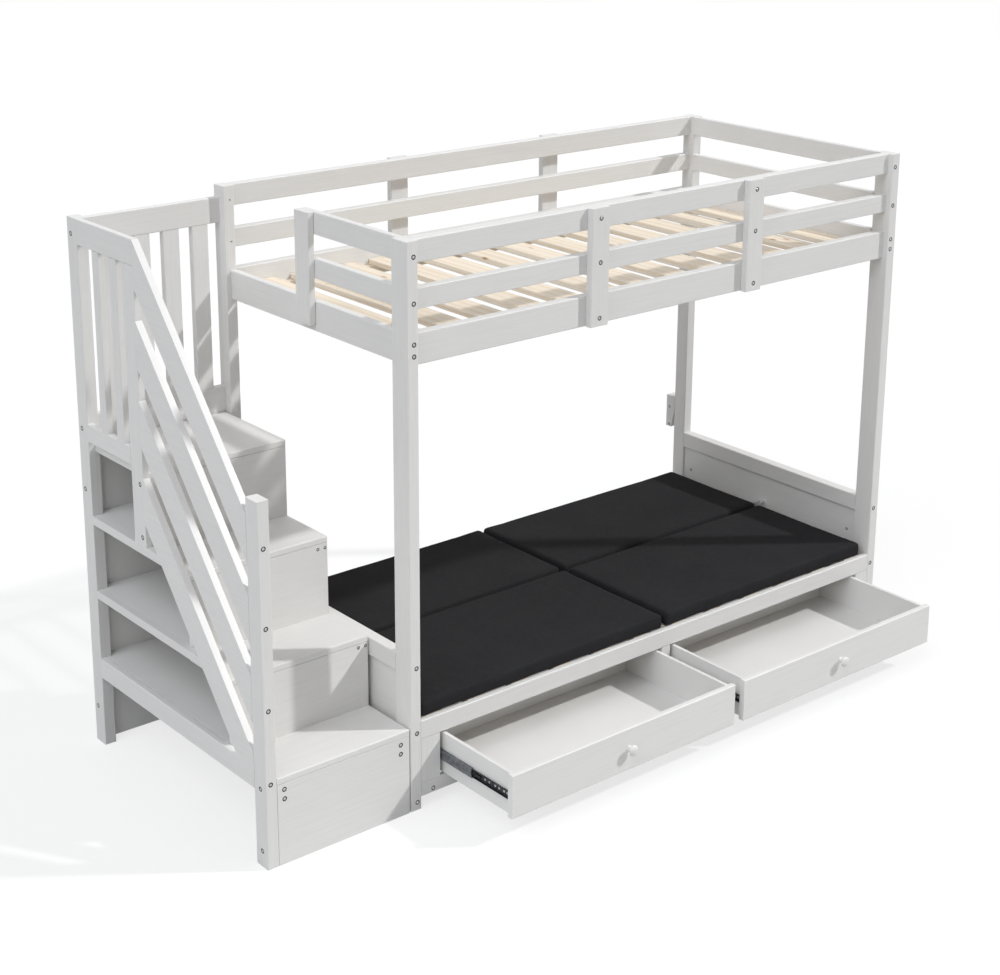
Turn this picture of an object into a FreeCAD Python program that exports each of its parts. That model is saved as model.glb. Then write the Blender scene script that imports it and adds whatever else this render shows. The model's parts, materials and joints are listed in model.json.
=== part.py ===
import FreeCAD
import Part
import math
import os

# Bunk bed with storage stairs, millimetres.
# The model is set out from one corner: X = 0 at the outer face of the bed's left posts, Y = 0 at the
# front face of the front posts, Z = 0 on the floor. The stairs stand on the -X side. Every solid is
# moved to ORIGIN, the middle of the bed's footprint as it stands with both drawers open, on export.

# ---------------------------------------------------------------- driving dimensions
BED_LENGTH = 2060.0
BED_DEPTH = 984.0
BED_HEIGHT = 1716.0
STAIR_WIDTH = 497.0
STAIR_HEIGHT = 1685.0
NEWEL_HEIGHT = 1091.0

POST_THICK = 38.0
FRONT_POST_DEPTH = 72.0
REAR_POST_DEPTH = 56.0
NEWEL_DEPTH = 57.0

RAIL_THICK = 32.0
END_RAIL_THICK = 24.0
RAIL_SETBACK = 18.0
TOP_RAIL_Z = (1649.0, BED_HEIGHT)
MID_RAIL_Z = (1518.0, 1578.0)
DECK_RAIL_Z = (1359.0, 1451.0)
UPRIGHT_WIDTH = 70.0
UPRIGHT_THICK = 23.0
UPRIGHT_CENTRES = (705.0, 1363.0)
ENTRY_UPRIGHT_Y = (467.0, 537.0)
ENTRY_UPRIGHT_BOTTOM = 1380.0

SLAT_COUNT = 13
SLAT_PITCH = 152.5
SLAT_WIDTH = 92.0
SLAT_THICK = 18.0
SLAT_TOP = 1402.0
FIRST_SLAT_X = 94.0
CLEAT_SIZE = 28.0

FACE_FRAME_THICK = 20.0
FACE_RAIL_Z = (224.0, 283.0)
FACE_BOTTOM_Z = (38.0, 82.0)
LEFT_OPENING_X = (108.0, 1014.0)
RIGHT_OPENING_X = (1050.0, 1962.0)

END_RAIL_TOP_Z = (430.0, 487.0)
END_RAIL_BOTTOM_Z = (8.0, 60.0)
END_BOARD_THICK = 20.0
END_BOARD_SETBACK = 10.0

SEAT_TOP = 283.0
SEAT_THICK = 18.0
SEAM_Y = 508.0
SEAM_GAP = 4.0
CUSHION_TOP = 330.0
CUSHION_CROWN = 3.0
CUSHION_X = ((44.0, 1036.0), (1040.0, 2002.0))
CUSHION_Y = (10.0, 967.0)
CROWN_INSET = 60.0
CUSHION_CORNER = 14.0
CUSHION_DRAW_IN = 5.0
CUSHION_LEVELS = (
    (0.0, 4.0, 1.0),
    (0.5, 0.0, 0.8),
    (1.0, 9.0, 0.6),
)

RUNNER_THICK = 16.0
RUNNER_Z = (38.0, 240.0)
BEAM_Y = (482.0, 530.0)
BEAM_HEIGHT = 60.0
LEDGER_WIDTH = 25.0
LEDGER_HEIGHT = 24.0
REAR_LOWER_RAIL_Y = (950.0, 975.0)
REAR_LOWER_RAIL_HEIGHT = 105.0
LOWER_SLAT_COUNT = 12
LOWER_SLAT_WIDTH = 70.0
LOWER_SLAT_ENDS_X = (60.0, 1990.0)

BACKREST_X = (42.0, 2004.0)
BACKREST_RAIL_WIDTH = 40.0
BACKREST_START_Y = 512.0
PLATE_THICK = 3.0
PLATE_EYE_RADIUS = 9.0
PLATE_HEEL_Y = 640.0
PIN_RADIUS = 4.0
PIN_PLAY = 0.05
PIN_BURY = 14.0
COLLAR_RADIUS = 8.0
COLLAR_PLAY = 0.3

STOP_BLOCK_Z = (493.0, 619.0)
STOP_BLOCK_BACK_Y = 1027.0
STOP_BLOCK_CUT_Z = 560.0
STOP_BLOCK_CUT_Y = 16.0

DRAWER_OPEN = 328.0
DRAWER_FRONT_THICK = 20.0
DRAWER_FRONT_GAP = 2.5
DRAWER_FRONT_Z = (84.0, 221.0)
DRAWER_BOX_DEPTH = 460.0
DRAWER_BOX_Z = (88.0, 218.0)
DRAWER_SIDE_THICK = 12.0
DRAWER_BOTTOM_THICK = 5.0
DRAWER_BOTTOM_Z = 96.0
GROOVE_DEPTH = 5.0
KNOB_RADIUS = 17.0
KNOB_REACH = 28.0
KNOB_Z = 156.5

SLIDE_GAP = 13.0
SLIDE_LENGTH = 450.0
SLIDE_START_Y = 22.0
SLIDE_Z = (131.0, 168.0)
SLIDE_STEEL = 1.2
SLIDE_NEST = 3.2
SLIDE_FLANGE = 10.0

RISER_FACES = (0.0, 200.0, 400.0, 613.0)
TREAD_TOPS = (270.0, 495.0, 745.0, 990.0)
TREAD_THICK = 20.0
RISER_THICK = 18.0
STAIR_RIGHT_X = -5.0
STAIR_BACK_Y = 955.0
BACK_PANEL_THICK = 15.0
SHELF_TOPS = (296.0, 524.0, 767.0)
SHELF_THICK = 18.0
SIDE_FRAME_THICK = 22.0
STAIR_GUARD_Z = (1600.0, 1680.0)
STAIR_BACK_RAIL_Z = (993.0, 1076.0)
REAR_SLAT_WIDTH = 56.5
REAR_SLAT_PITCH = 100.5
REAR_SLAT_COUNT = 4
REAR_SLAT_FIRST_X = -399.5

STILE_Y = (605.0, 670.0)
SIDE_SLATS_Y = ((703.0, 745.0), (806.0, 843.0))
SIDE_TOP_Z = (1608.0, STAIR_HEIGHT)
SIDE_RAIL_Z = (1004.0, 1060.0)
SHELF_RAILS_Z = ((498.0, 524.0), (740.0, 767.0))
BOTTOM_RAIL_Z = (230.0, 296.0)
BAR_TOP_AT_NEWEL = 1040.0
BAR_HEIGHT = 140.0
BAR_PITCH = 235.0
BAR_COUNT = 4
BATTEN_DEPTH = 27.0
BATTEN_WIDTH = 34.0
BATTEN_FOOT = 12.0

EASE = 2.0
BOLT_SIDES = 6
BOLT_RADIUS = 3.0
BOLT_HEAD_RADIUS = 6.5
BOLT_HEAD_THICK = 4.0
HOLE_PLAY = 0.2
BITE = 30.0
POST_BOLT_INSET = 23.0
CORNER_BOLT_Z = (1672.0, 1541.0, 1425.0, 1391.0, 455.0)
FOOT_BOLT_Z = (248.0, 25.0)
UPRIGHT_BOLT_Z = (1685.0, 1552.0, 1383.0)
NEWEL_BOLT_X = -480.0
NEWEL_FRONT_BOLT_Z = (956.0, 725.0, 482.0, 260.0)
NEWEL_SIDE_BOLT_Z = (242.0, 50.0)
REAR_POST_BOLT_Z = (1636.0, 1038.0, 845.0, 123.0)
STILE_BOLT_Z = (959.0, 795.0)
FRONT_PANEL_BOLT_X = (-436.0, -36.0)
FRONT_PANEL_BOLT_Z = (231.0, 202.0)
BATTEN_BOLT_Y = 26.0

# ---------------------------------------------------------------- sizes that follow
RIGHT_POST_X = (BED_LENGTH - POST_THICK, BED_LENGTH)
LEFT_POST_X = (0.0, POST_THICK)
REAR_POST_Y = (BED_DEPTH - REAR_POST_DEPTH, BED_DEPTH)
FRONT_POST_Y = (0.0, FRONT_POST_DEPTH)
BETWEEN_POSTS_X = (POST_THICK, RIGHT_POST_X[0])
BETWEEN_POSTS_Y = (FRONT_POST_DEPTH, REAR_POST_Y[0])
FRONT_RAIL_Y = (RAIL_SETBACK, RAIL_SETBACK + RAIL_THICK)
REAR_RAIL_OUTER_Y = 978.0
REAR_RAIL_Y = (REAR_RAIL_OUTER_Y - RAIL_THICK, REAR_RAIL_OUTER_Y)
LEFT_RAIL_X = (RAIL_SETBACK, RAIL_SETBACK + END_RAIL_THICK)
RIGHT_RAIL_X = (BED_LENGTH - LEFT_RAIL_X[1], BED_LENGTH - LEFT_RAIL_X[0])
STAIR_LEFT_X = -STAIR_WIDTH
SIDE_FRAME_X = (STAIR_LEFT_X, STAIR_LEFT_X + SIDE_FRAME_THICK)
NEWEL_X = (STAIR_LEFT_X, STAIR_LEFT_X + POST_THICK)
STAIR_INNER_X = (SIDE_FRAME_X[1], STAIR_RIGHT_X)
STAIR_REAR_POST_Y = (BED_DEPTH + 1 - NEWEL_DEPTH, BED_DEPTH + 1)
SEAT_Z = (SEAT_TOP - SEAT_THICK, SEAT_TOP)
BAR_SLOPE = (STAIR_HEIGHT - BAR_TOP_AT_NEWEL) / (STILE_Y[0] - NEWEL_DEPTH)
PIVOT_Y = SEAM_Y
PIVOT_Z = CUSHION_TOP
ORIGIN = FreeCAD.Vector(
    (STAIR_LEFT_X + BED_LENGTH) / 2,
    (STOP_BLOCK_BACK_Y - DRAWER_OPEN - KNOB_REACH) / 2,
    0,
)

X_AXIS = FreeCAD.Vector(1, 0, 0)
Y_AXIS = FreeCAD.Vector(0, 1, 0)
Z_AXIS = FreeCAD.Vector(0, 0, 1)

nodes = {}
bolts = []


# ---------------------------------------------------------------- shapes
def block(x, y, z):
    """A square-edged board between three pairs of limits."""
    corner = FreeCAD.Vector(x[0], y[0], z[0])
    return Part.makeBox(x[1] - x[0], y[1] - y[0], z[1] - z[0], corner)


def prism(points, direction):
    """A closed outline pushed along a direction."""
    outline = Part.makePolygon(points + [points[0]])
    return Part.Face(outline).extrude(direction)


def eased_outline(a, b):
    """The eight corners of a rectangle whose corners are eased."""
    corners = [
        (a[0] + EASE, b[0]),
        (a[1] - EASE, b[0]),
        (a[1], b[0] + EASE),
        (a[1], b[1] - EASE),
        (a[1] - EASE, b[1]),
        (a[0] + EASE, b[1]),
        (a[0], b[1] - EASE),
        (a[0], b[0] + EASE),
    ]
    return corners


def board(x, y, z):
    """A planed board: its four long edges are eased, its ends are cut square."""
    lengths = (x[1] - x[0], y[1] - y[0], z[1] - z[0])
    longest = lengths.index(max(lengths))
    if longest == 0:
        points = [FreeCAD.Vector(x[0], p, q) for p, q in eased_outline(y, z)]
        return prism(points, X_AXIS * lengths[0])
    if longest == 1:
        points = [FreeCAD.Vector(p, y[0], q) for p, q in eased_outline(x, z)]
        return prism(points, Y_AXIS * lengths[1])
    points = [FreeCAD.Vector(p, q, z[0]) for p, q in eased_outline(x, y)]
    return prism(points, Z_AXIS * lengths[2])


def panel_yz(outline, x):
    """A flat board cut to an outline in the YZ plane."""
    points = [FreeCAD.Vector(x[0], y, z) for y, z in outline]
    return prism(points, X_AXIS * (x[1] - x[0]))


def turned(profile, centre, axis):
    """A turned piece. The profile is (distance along the axis, radius) pairs."""
    points = [FreeCAD.Vector(along, radius, 0) for along, radius in profile]
    outline = Part.makePolygon(points + [points[0]])
    solid = Part.Face(outline).revolve(FreeCAD.Vector(0, 0, 0), X_AXIS, 360)
    turn = FreeCAD.Rotation(X_AXIS, axis)
    solid.Placement = FreeCAD.Placement(centre, turn)
    return solid


def add(name, *solids):
    """Register a node made of one or more separate solids."""
    nodes[name] = list(solids)


def bolt(x, y, z, axis, length):
    """A flush connector bolt whose head starts at a point and whose shank runs along the axis."""
    bolts.append((FreeCAD.Vector(x, y, z), axis, length))


def faceted_bar(radius, start, end):
    """A bar about the X axis with few, equal sides."""
    turns = [2 * math.pi * side / BOLT_SIDES for side in range(BOLT_SIDES)]
    points = [FreeCAD.Vector(start, radius * math.cos(turn), radius * math.sin(turn)) for turn in turns]
    return prism(points, X_AXIS * (end - start))


def bolt_solid(place, axis, length, play):
    """One bolt, or the hole that it needs when play is more than nothing. Few sides keep it light."""
    head = faceted_bar(BOLT_HEAD_RADIUS + play, 0.0, BOLT_HEAD_THICK)
    shank = faceted_bar(BOLT_RADIUS + play, 0.0, length + play)
    whole = head.fuse(shank).removeSplitter()
    solid = whole.Solids[0]
    solid.Placement = FreeCAD.Placement(place, FreeCAD.Rotation(X_AXIS, axis))
    return solid


# ---------------------------------------------------------------- bed frame
def make_posts():
    height = (0.0, BED_HEIGHT)
    add("front_left_post", board(LEFT_POST_X, FRONT_POST_Y, height))
    add("front_right_post", board(RIGHT_POST_X, FRONT_POST_Y, height))
    add("rear_left_post", board(LEFT_POST_X, REAR_POST_Y, height))
    add("rear_right_post", board(RIGHT_POST_X, REAR_POST_Y, height))


def make_upper_rails():
    long_way = BETWEEN_POSTS_X
    short_way = BETWEEN_POSTS_Y
    entry_way = (FRONT_POST_DEPTH, ENTRY_UPRIGHT_Y[1])
    guards = (TOP_RAIL_Z, MID_RAIL_Z)
    add("front_guard_rails", *[board(long_way, FRONT_RAIL_Y, z) for z in guards])
    add("rear_guard_rails", *[board(long_way, REAR_RAIL_Y, z) for z in guards])
    right_guards = [board(RIGHT_RAIL_X, short_way, z) for z in guards]
    left_guards = [board(LEFT_RAIL_X, entry_way, z) for z in guards]
    add("end_guard_rails", *right_guards, *left_guards)
    add("front_deck_rail", board(long_way, FRONT_RAIL_Y, DECK_RAIL_Z))
    add("rear_deck_rail", board(long_way, REAR_RAIL_Y, DECK_RAIL_Z))
    end_decks = [board(x, short_way, DECK_RAIL_Z) for x in (LEFT_RAIL_X, RIGHT_RAIL_X)]
    add("end_deck_rails", *end_decks)


def make_uprights():
    height = (DECK_RAIL_Z[0] - 1, BED_HEIGHT)
    front_y = (RAIL_SETBACK - UPRIGHT_THICK, RAIL_SETBACK)
    rear_y = (REAR_RAIL_OUTER_Y, REAR_RAIL_OUTER_Y + UPRIGHT_THICK)
    solids = []
    for centre in UPRIGHT_CENTRES:
        x = (centre - UPRIGHT_WIDTH / 2, centre + UPRIGHT_WIDTH / 2)
        solids.append(board(x, front_y, height))
        solids.append(board(x, rear_y, height))
    add("guard_uprights", *solids)
    entry_x = (RAIL_SETBACK - UPRIGHT_THICK, RAIL_SETBACK)
    add("entry_upright", board(entry_x, ENTRY_UPRIGHT_Y, (ENTRY_UPRIGHT_BOTTOM, BED_HEIGHT)))


def make_upper_deck():
    cleat_z = (SLAT_TOP - SLAT_THICK - CLEAT_SIZE, SLAT_TOP - SLAT_THICK)
    cleat_x = (LEFT_RAIL_X[1], RIGHT_RAIL_X[0])
    front_cleat = block(cleat_x, (FRONT_RAIL_Y[1], FRONT_RAIL_Y[1] + CLEAT_SIZE), cleat_z)
    rear_cleat = block(cleat_x, (REAR_RAIL_Y[0] - CLEAT_SIZE, REAR_RAIL_Y[0]), cleat_z)
    add("slat_cleats", front_cleat, rear_cleat)
    slat_y = (FRONT_RAIL_Y[1] + 2, REAR_RAIL_Y[0] - 2)
    slats = []
    for number in range(SLAT_COUNT):
        left = FIRST_SLAT_X + number * SLAT_PITCH
        slats.append(board((left, left + SLAT_WIDTH), slat_y, (SLAT_TOP - SLAT_THICK, SLAT_TOP)))
    add("upper_slats", *slats)


# ---------------------------------------------------------------- lower bed
def end_board_x():
    left = (END_BOARD_SETBACK, END_BOARD_SETBACK + END_BOARD_THICK)
    right = (BED_LENGTH - left[1], BED_LENGTH - left[0])
    return left, right


def make_end_panels():
    board_z = (END_RAIL_BOTTOM_Z[1], END_RAIL_TOP_Z[0])
    add("end_panels", *[block(x, BETWEEN_POSTS_Y, board_z) for x in end_board_x()])
    rails = []
    for x in (LEFT_POST_X, RIGHT_POST_X):
        for z in (END_RAIL_TOP_Z, END_RAIL_BOTTOM_Z):
            rails.append(board(x, BETWEEN_POSTS_Y, z))
    add("end_panel_rails", *rails)


def make_face_frame():
    y = (0.0, FACE_FRAME_THICK)
    add("front_frame_rail", board(BETWEEN_POSTS_X, y, FACE_RAIL_Z))
    add("front_bottom_board", board(BETWEEN_POSTS_X, y, FACE_BOTTOM_Z))
    stile_z = (FACE_BOTTOM_Z[1], FACE_RAIL_Z[0])
    left = (POST_THICK, LEFT_OPENING_X[0])
    middle = (LEFT_OPENING_X[1], RIGHT_OPENING_X[0])
    right = (RIGHT_OPENING_X[1], RIGHT_POST_X[0])
    add("front_frame_stiles", *[block(x, y, stile_z) for x in (left, middle, right)])


def make_seat_structure():
    runners = []
    for opening in (LEFT_OPENING_X, RIGHT_OPENING_X):
        runners.append((opening[0] - RUNNER_THICK, opening[0]))
        runners.append((opening[1], opening[1] + RUNNER_THICK))
    runner_y = (FACE_FRAME_THICK, BEAM_Y[0])
    add("drawer_runner_boards", *[block(x, runner_y, RUNNER_Z) for x in runners])
    left_board, right_board = end_board_x()
    beam = block((left_board[1], right_board[0]), BEAM_Y, (SEAT_Z[0] - BEAM_HEIGHT, SEAT_Z[0]))
    ledger_y = (FACE_FRAME_THICK, FACE_FRAME_THICK + LEDGER_WIDTH)
    ledger = block(BETWEEN_POSTS_X, ledger_y, (SEAT_Z[0] - LEDGER_HEIGHT, SEAT_Z[0]))
    add("seat_bearers", beam, ledger)
    rear_z = (SEAT_Z[0] - REAR_LOWER_RAIL_HEIGHT, SEAT_Z[0])
    add("rear_lower_rail", board(BETWEEN_POSTS_X, REAR_LOWER_RAIL_Y, rear_z))


def lower_slat_row(y):
    """A row of slats across the lower bed, evenly spaced between its two ends."""
    room = LOWER_SLAT_ENDS_X[1] - LOWER_SLAT_ENDS_X[0] - LOWER_SLAT_WIDTH
    pitch = room / (LOWER_SLAT_COUNT - 1)
    lefts = [LOWER_SLAT_ENDS_X[0] + number * pitch for number in range(LOWER_SLAT_COUNT)]
    return [block((left, left + LOWER_SLAT_WIDTH), y, SEAT_Z) for left in lefts]


def make_seat():
    add("seat_slats", *lower_slat_row((FACE_FRAME_THICK + 2, SEAM_Y - SEAM_GAP)))


def pivot_plate(x):
    """A steel plate: a foot along the frame, an arm that rises to a round eye, and a bore in it."""
    foot = [
        FreeCAD.Vector(x[0], BACKREST_START_Y, SEAT_Z[0]),
        FreeCAD.Vector(x[0], PLATE_HEEL_Y, SEAT_Z[0]),
        FreeCAD.Vector(x[0], PLATE_HEEL_Y, SEAT_Z[1]),
        FreeCAD.Vector(x[0], PIVOT_Y + PLATE_EYE_RADIUS, PIVOT_Z),
    ]
    crown = FreeCAD.Vector(x[0], PIVOT_Y, PIVOT_Z + PLATE_EYE_RADIUS)
    throat = FreeCAD.Vector(x[0], PIVOT_Y - PLATE_EYE_RADIUS, PIVOT_Z)
    eye_arc = Part.Arc(foot[3], crown, throat).toShape()
    sides = [Part.makeLine(foot[0], foot[1]), Part.makeLine(foot[1], foot[2]), Part.makeLine(foot[2], foot[3])]
    closing = Part.makeLine(throat, foot[0])
    plate = Part.Face(Part.Wire(sides + [eye_arc, closing])).extrude(X_AXIS * (x[1] - x[0]))
    pivot = FreeCAD.Vector(x[0] - 1, PIVOT_Y, PIVOT_Z)
    bore = Part.makeCylinder(PIN_RADIUS + PIN_PLAY, x[1] - x[0] + 2, pivot, X_AXIS)
    return plate.cut(bore)


def pivot_pin(inner_x, plate_outer_x, board_inner_x, bury):
    """A shouldered pin from the plate's inner face, through its collar, into the end panel."""
    outward = 1.0 if board_inner_x > inner_x else -1.0
    plate = abs(plate_outer_x - inner_x)
    collar_start = plate + COLLAR_PLAY
    collar_end = abs(board_inner_x - inner_x)
    end = collar_end + bury
    profile = [
        (0, 0),
        (0, PIN_RADIUS),
        (collar_start, PIN_RADIUS),
        (collar_start, COLLAR_RADIUS),
        (collar_end, COLLAR_RADIUS),
        (collar_end, PIN_RADIUS),
        (end, PIN_RADIUS),
        (end, 0),
    ]
    return turned(profile, FreeCAD.Vector(inner_x, PIVOT_Y, PIVOT_Z), X_AXIS * outward)


def make_backrest():
    front_rail_y = (BACKREST_START_Y, BACKREST_START_Y + BACKREST_RAIL_WIDTH)
    rear_rail_y = (CUSHION_Y[1] - BACKREST_RAIL_WIDTH, CUSHION_Y[1])
    add("backrest_rails", *[board(BACKREST_X, y, SEAT_Z) for y in (front_rail_y, rear_rail_y)])
    add("backrest_slats", *lower_slat_row((front_rail_y[1], rear_rail_y[0])))
    left_plate = (BACKREST_X[0] - PLATE_THICK, BACKREST_X[0])
    right_plate = (BACKREST_X[1], BACKREST_X[1] + PLATE_THICK)
    add("backrest_plates", pivot_plate(left_plate), pivot_plate(right_plate))
    left_board, right_board = end_board_x()
    left_pin = pivot_pin(left_plate[1], left_plate[0], left_board[1], PIN_BURY)
    right_pin = pivot_pin(right_plate[0], right_plate[1], right_board[0], PIN_BURY)
    add("backrest_pivot_pins", left_pin, right_pin)


def drill_end_panels():
    """The end panels' bores for the backrest's pins."""
    drilled = []
    for solid, x in zip(nodes["end_panels"], end_board_x()):
        start = FreeCAD.Vector(x[0] - 1, PIVOT_Y, PIVOT_Z)
        length = END_BOARD_THICK + 2
        drilled.append(solid.cut(Part.makeCylinder(PIN_RADIUS + PIN_PLAY, length, start, X_AXIS)))
    nodes["end_panels"] = drilled


# ---------------------------------------------------------------- cushions
def cushion_section(x, y, z, inset, draw_in):
    """One level of a cushion: rounded corners joined by sides that bow inwards."""
    left = x[0] + inset
    right = x[1] - inset
    front = y[0] + inset
    back = y[1] - inset
    reach = CUSHION_CORNER
    middle_x = (left + right) / 2
    middle_y = (front + back) / 2
    corner_cut = reach * (1 - math.sqrt(0.5))
    stops = [
        (left + reach, front),
        (middle_x, front + draw_in),
        (right - reach, front),
        (right - corner_cut, front + corner_cut),
        (right, front + reach),
        (right - draw_in, middle_y),
        (right, back - reach),
        (right - corner_cut, back - corner_cut),
        (right - reach, back),
        (middle_x, back - draw_in),
        (left + reach, back),
        (left + corner_cut, back - corner_cut),
        (left, back - reach),
        (left + draw_in, middle_y),
        (left, front + reach),
        (left + corner_cut, front + corner_cut),
    ]
    points = [FreeCAD.Vector(p, q, z) for p, q in stops]
    points.append(points[0])
    arcs = [Part.Arc(points[i], points[i + 1], points[i + 2]).toShape() for i in range(0, 16, 2)]
    return Part.Wire(arcs)


def cushion(x, y):
    """A crowned pad with drawn-in sides: levels are (part of the height, inset, part of the draw-in)."""
    height = CUSHION_TOP - SEAT_TOP - CUSHION_CROWN
    sections = []
    for part_height, inset, part_draw in CUSHION_LEVELS:
        z = SEAT_TOP + part_height * height
        sections.append(cushion_section(x, y, z, inset, CUSHION_DRAW_IN * part_draw))
    sections.append(cushion_section(x, y, CUSHION_TOP, CROWN_INSET, CUSHION_DRAW_IN * part_draw))
    return Part.makeLoft(sections, True, True)


def make_cushions():
    front_y = (CUSHION_Y[0], SEAM_Y - SEAM_GAP / 2)
    rear_y = (SEAM_Y + SEAM_GAP / 2, CUSHION_Y[1])
    add("seat_cushion_left", cushion(CUSHION_X[0], front_y))
    add("seat_cushion_right", cushion(CUSHION_X[1], front_y))
    add("backrest_cushion_left", cushion(CUSHION_X[0], rear_y))
    add("backrest_cushion_right", cushion(CUSHION_X[1], rear_y))


# ---------------------------------------------------------------- stop blocks
def make_stop_blocks():
    outline = [
        (BED_DEPTH, STOP_BLOCK_Z[1]),
        (STOP_BLOCK_BACK_Y, STOP_BLOCK_Z[1]),
        (STOP_BLOCK_BACK_Y, STOP_BLOCK_Z[0]),
        (BED_DEPTH + STOP_BLOCK_CUT_Y, STOP_BLOCK_Z[0]),
        (BED_DEPTH, STOP_BLOCK_CUT_Z),
    ]
    add("rear_stop_blocks", *[panel_yz(outline, x) for x in (LEFT_POST_X, RIGHT_POST_X)])


# ---------------------------------------------------------------- drawers
def channel(web_x, lip_x, z, y):
    """A rolled steel channel: a web at web_x and two lips that reach towards lip_x."""
    side = 1.0 if lip_x > web_x else -1.0
    outline = [
        (web_x, z[0]),
        (lip_x, z[0]),
        (lip_x, z[0] + SLIDE_STEEL),
        (web_x + side * SLIDE_STEEL, z[0] + SLIDE_STEEL),
        (web_x + side * SLIDE_STEEL, z[1] - SLIDE_STEEL),
        (lip_x, z[1] - SLIDE_STEEL),
        (lip_x, z[1]),
        (web_x, z[1]),
    ]
    points = [FreeCAD.Vector(x, y[0], height) for x, height in outline]
    return prism(points, Y_AXIS * (y[1] - y[0]))


def slide_members(wall_x, side):
    """The three nested members of one slide, from the runner board at wall_x towards the drawer."""
    drawn = DRAWER_OPEN
    outer_y = (SLIDE_START_Y, SLIDE_START_Y + SLIDE_LENGTH)
    middle_y = (outer_y[0] - drawn / 2, outer_y[1] - drawn / 2)
    inner_y = (outer_y[0] - drawn, outer_y[1] - drawn)
    middle_z = (SLIDE_Z[0] + SLIDE_NEST, SLIDE_Z[1] - SLIDE_NEST)
    inner_z = (SLIDE_Z[0] + 2 * SLIDE_NEST, SLIDE_Z[1] - 2 * SLIDE_NEST)
    middle_x = wall_x + side * 2 * SLIDE_STEEL
    outer = channel(wall_x, wall_x + side * SLIDE_FLANGE, SLIDE_Z, outer_y)
    middle = channel(middle_x, middle_x + side * SLIDE_FLANGE * 0.9, middle_z, middle_y)
    inner = channel(wall_x + side * SLIDE_GAP, wall_x + side * SLIDE_FLANGE / 2, inner_z, inner_y)
    return outer, middle, inner


def knob(x, y, z):
    """A turned mushroom knob on the drawer's front, its axis towards the user."""
    neck = KNOB_RADIUS * 0.45
    profile = [
        (0, 0),
        (0, neck),
        (KNOB_REACH * 0.45, neck),
        (KNOB_REACH * 0.64, KNOB_RADIUS),
        (KNOB_REACH * 0.84, KNOB_RADIUS),
        (KNOB_REACH, KNOB_RADIUS * 0.58),
        (KNOB_REACH, 0),
    ]
    return turned(profile, FreeCAD.Vector(x, y, z), Y_AXIS * -1)


def make_drawer(name, opening):
    front_x = (opening[0] + DRAWER_FRONT_GAP, opening[1] - DRAWER_FRONT_GAP)
    face_y = -DRAWER_OPEN
    back_of_front = face_y + DRAWER_FRONT_THICK
    box_x = (opening[0] + SLIDE_GAP, opening[1] - SLIDE_GAP)
    box_y = (back_of_front, back_of_front + DRAWER_BOX_DEPTH)
    front = board(front_x, (face_y, back_of_front), DRAWER_FRONT_Z)
    left_side = block((box_x[0], box_x[0] + DRAWER_SIDE_THICK), box_y, DRAWER_BOX_Z)
    right_side = block((box_x[1] - DRAWER_SIDE_THICK, box_x[1]), box_y, DRAWER_BOX_Z)
    inside_x = (box_x[0] + DRAWER_SIDE_THICK, box_x[1] - DRAWER_SIDE_THICK)
    back = block(inside_x, (box_y[1] - DRAWER_SIDE_THICK, box_y[1]), DRAWER_BOX_Z)
    bottom_x = (inside_x[0] - GROOVE_DEPTH, inside_x[1] + GROOVE_DEPTH)
    bottom_y = (box_y[0] - GROOVE_DEPTH, box_y[1] - DRAWER_SIDE_THICK + GROOVE_DEPTH)
    bottom_z = (DRAWER_BOTTOM_Z, DRAWER_BOTTOM_Z + DRAWER_BOTTOM_THICK)
    bottom = block(bottom_x, bottom_y, bottom_z)
    add(name + "_drawer_front", front.cut(bottom))
    add(name + "_drawer_box", left_side.cut(bottom), right_side.cut(bottom), back.cut(bottom))
    add(name + "_drawer_bottom", bottom)
    middle_x = (front_x[0] + front_x[1]) / 2
    add(name + "_drawer_knob", knob(middle_x, face_y, KNOB_Z))
    left_members = slide_members(opening[0], 1.0)
    right_members = slide_members(opening[1], -1.0)
    add(name + "_slide_middles", left_members[1], right_members[1])
    add(name + "_slide_inners", left_members[2], right_members[2])
    return [left_members[0], right_members[0]]


def make_drawers():
    outers = make_drawer("left", LEFT_OPENING_X)
    outers += make_drawer("right", RIGHT_OPENING_X)
    add("slide_outers", *outers)


# ---------------------------------------------------------------- stairs
def make_stair_posts():
    add("stair_newel", board(NEWEL_X, (0.0, NEWEL_DEPTH), (0.0, NEWEL_HEIGHT)))
    add("stair_rear_post", board(NEWEL_X, STAIR_REAR_POST_Y, (0.0, STAIR_HEIGHT)))


def bar_edge(number, y):
    """Height of the top edge of a sloping bar at a distance y from the front."""
    return BAR_TOP_AT_NEWEL - number * BAR_PITCH + BAR_SLOPE * (y - NEWEL_DEPTH)


def sloping_bar(number):
    """A bar between the newel and the stile. The lowest one is cut off along the bottom rail."""
    front = NEWEL_DEPTH
    rear = STILE_Y[0]
    outline = [
        (front, bar_edge(number, front)),
        (rear, bar_edge(number, rear)),
        (rear, bar_edge(number, rear) - BAR_HEIGHT),
        (front, bar_edge(number, front) - BAR_HEIGHT),
    ]
    bar = panel_yz(outline, SIDE_FRAME_X)
    below = block((SIDE_FRAME_X[0] - 1, SIDE_FRAME_X[1] + 1), (0.0, BED_DEPTH), (0.0, BOTTOM_RAIL_Z[1]))
    return bar.cut(below)


def bar_foot_y(z):
    """Where the underside of the lowest bar passes a height."""
    lowest = BAR_COUNT - 1
    return NEWEL_DEPTH + (z + BAR_HEIGHT - bar_edge(lowest, NEWEL_DEPTH)) / BAR_SLOPE


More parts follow.
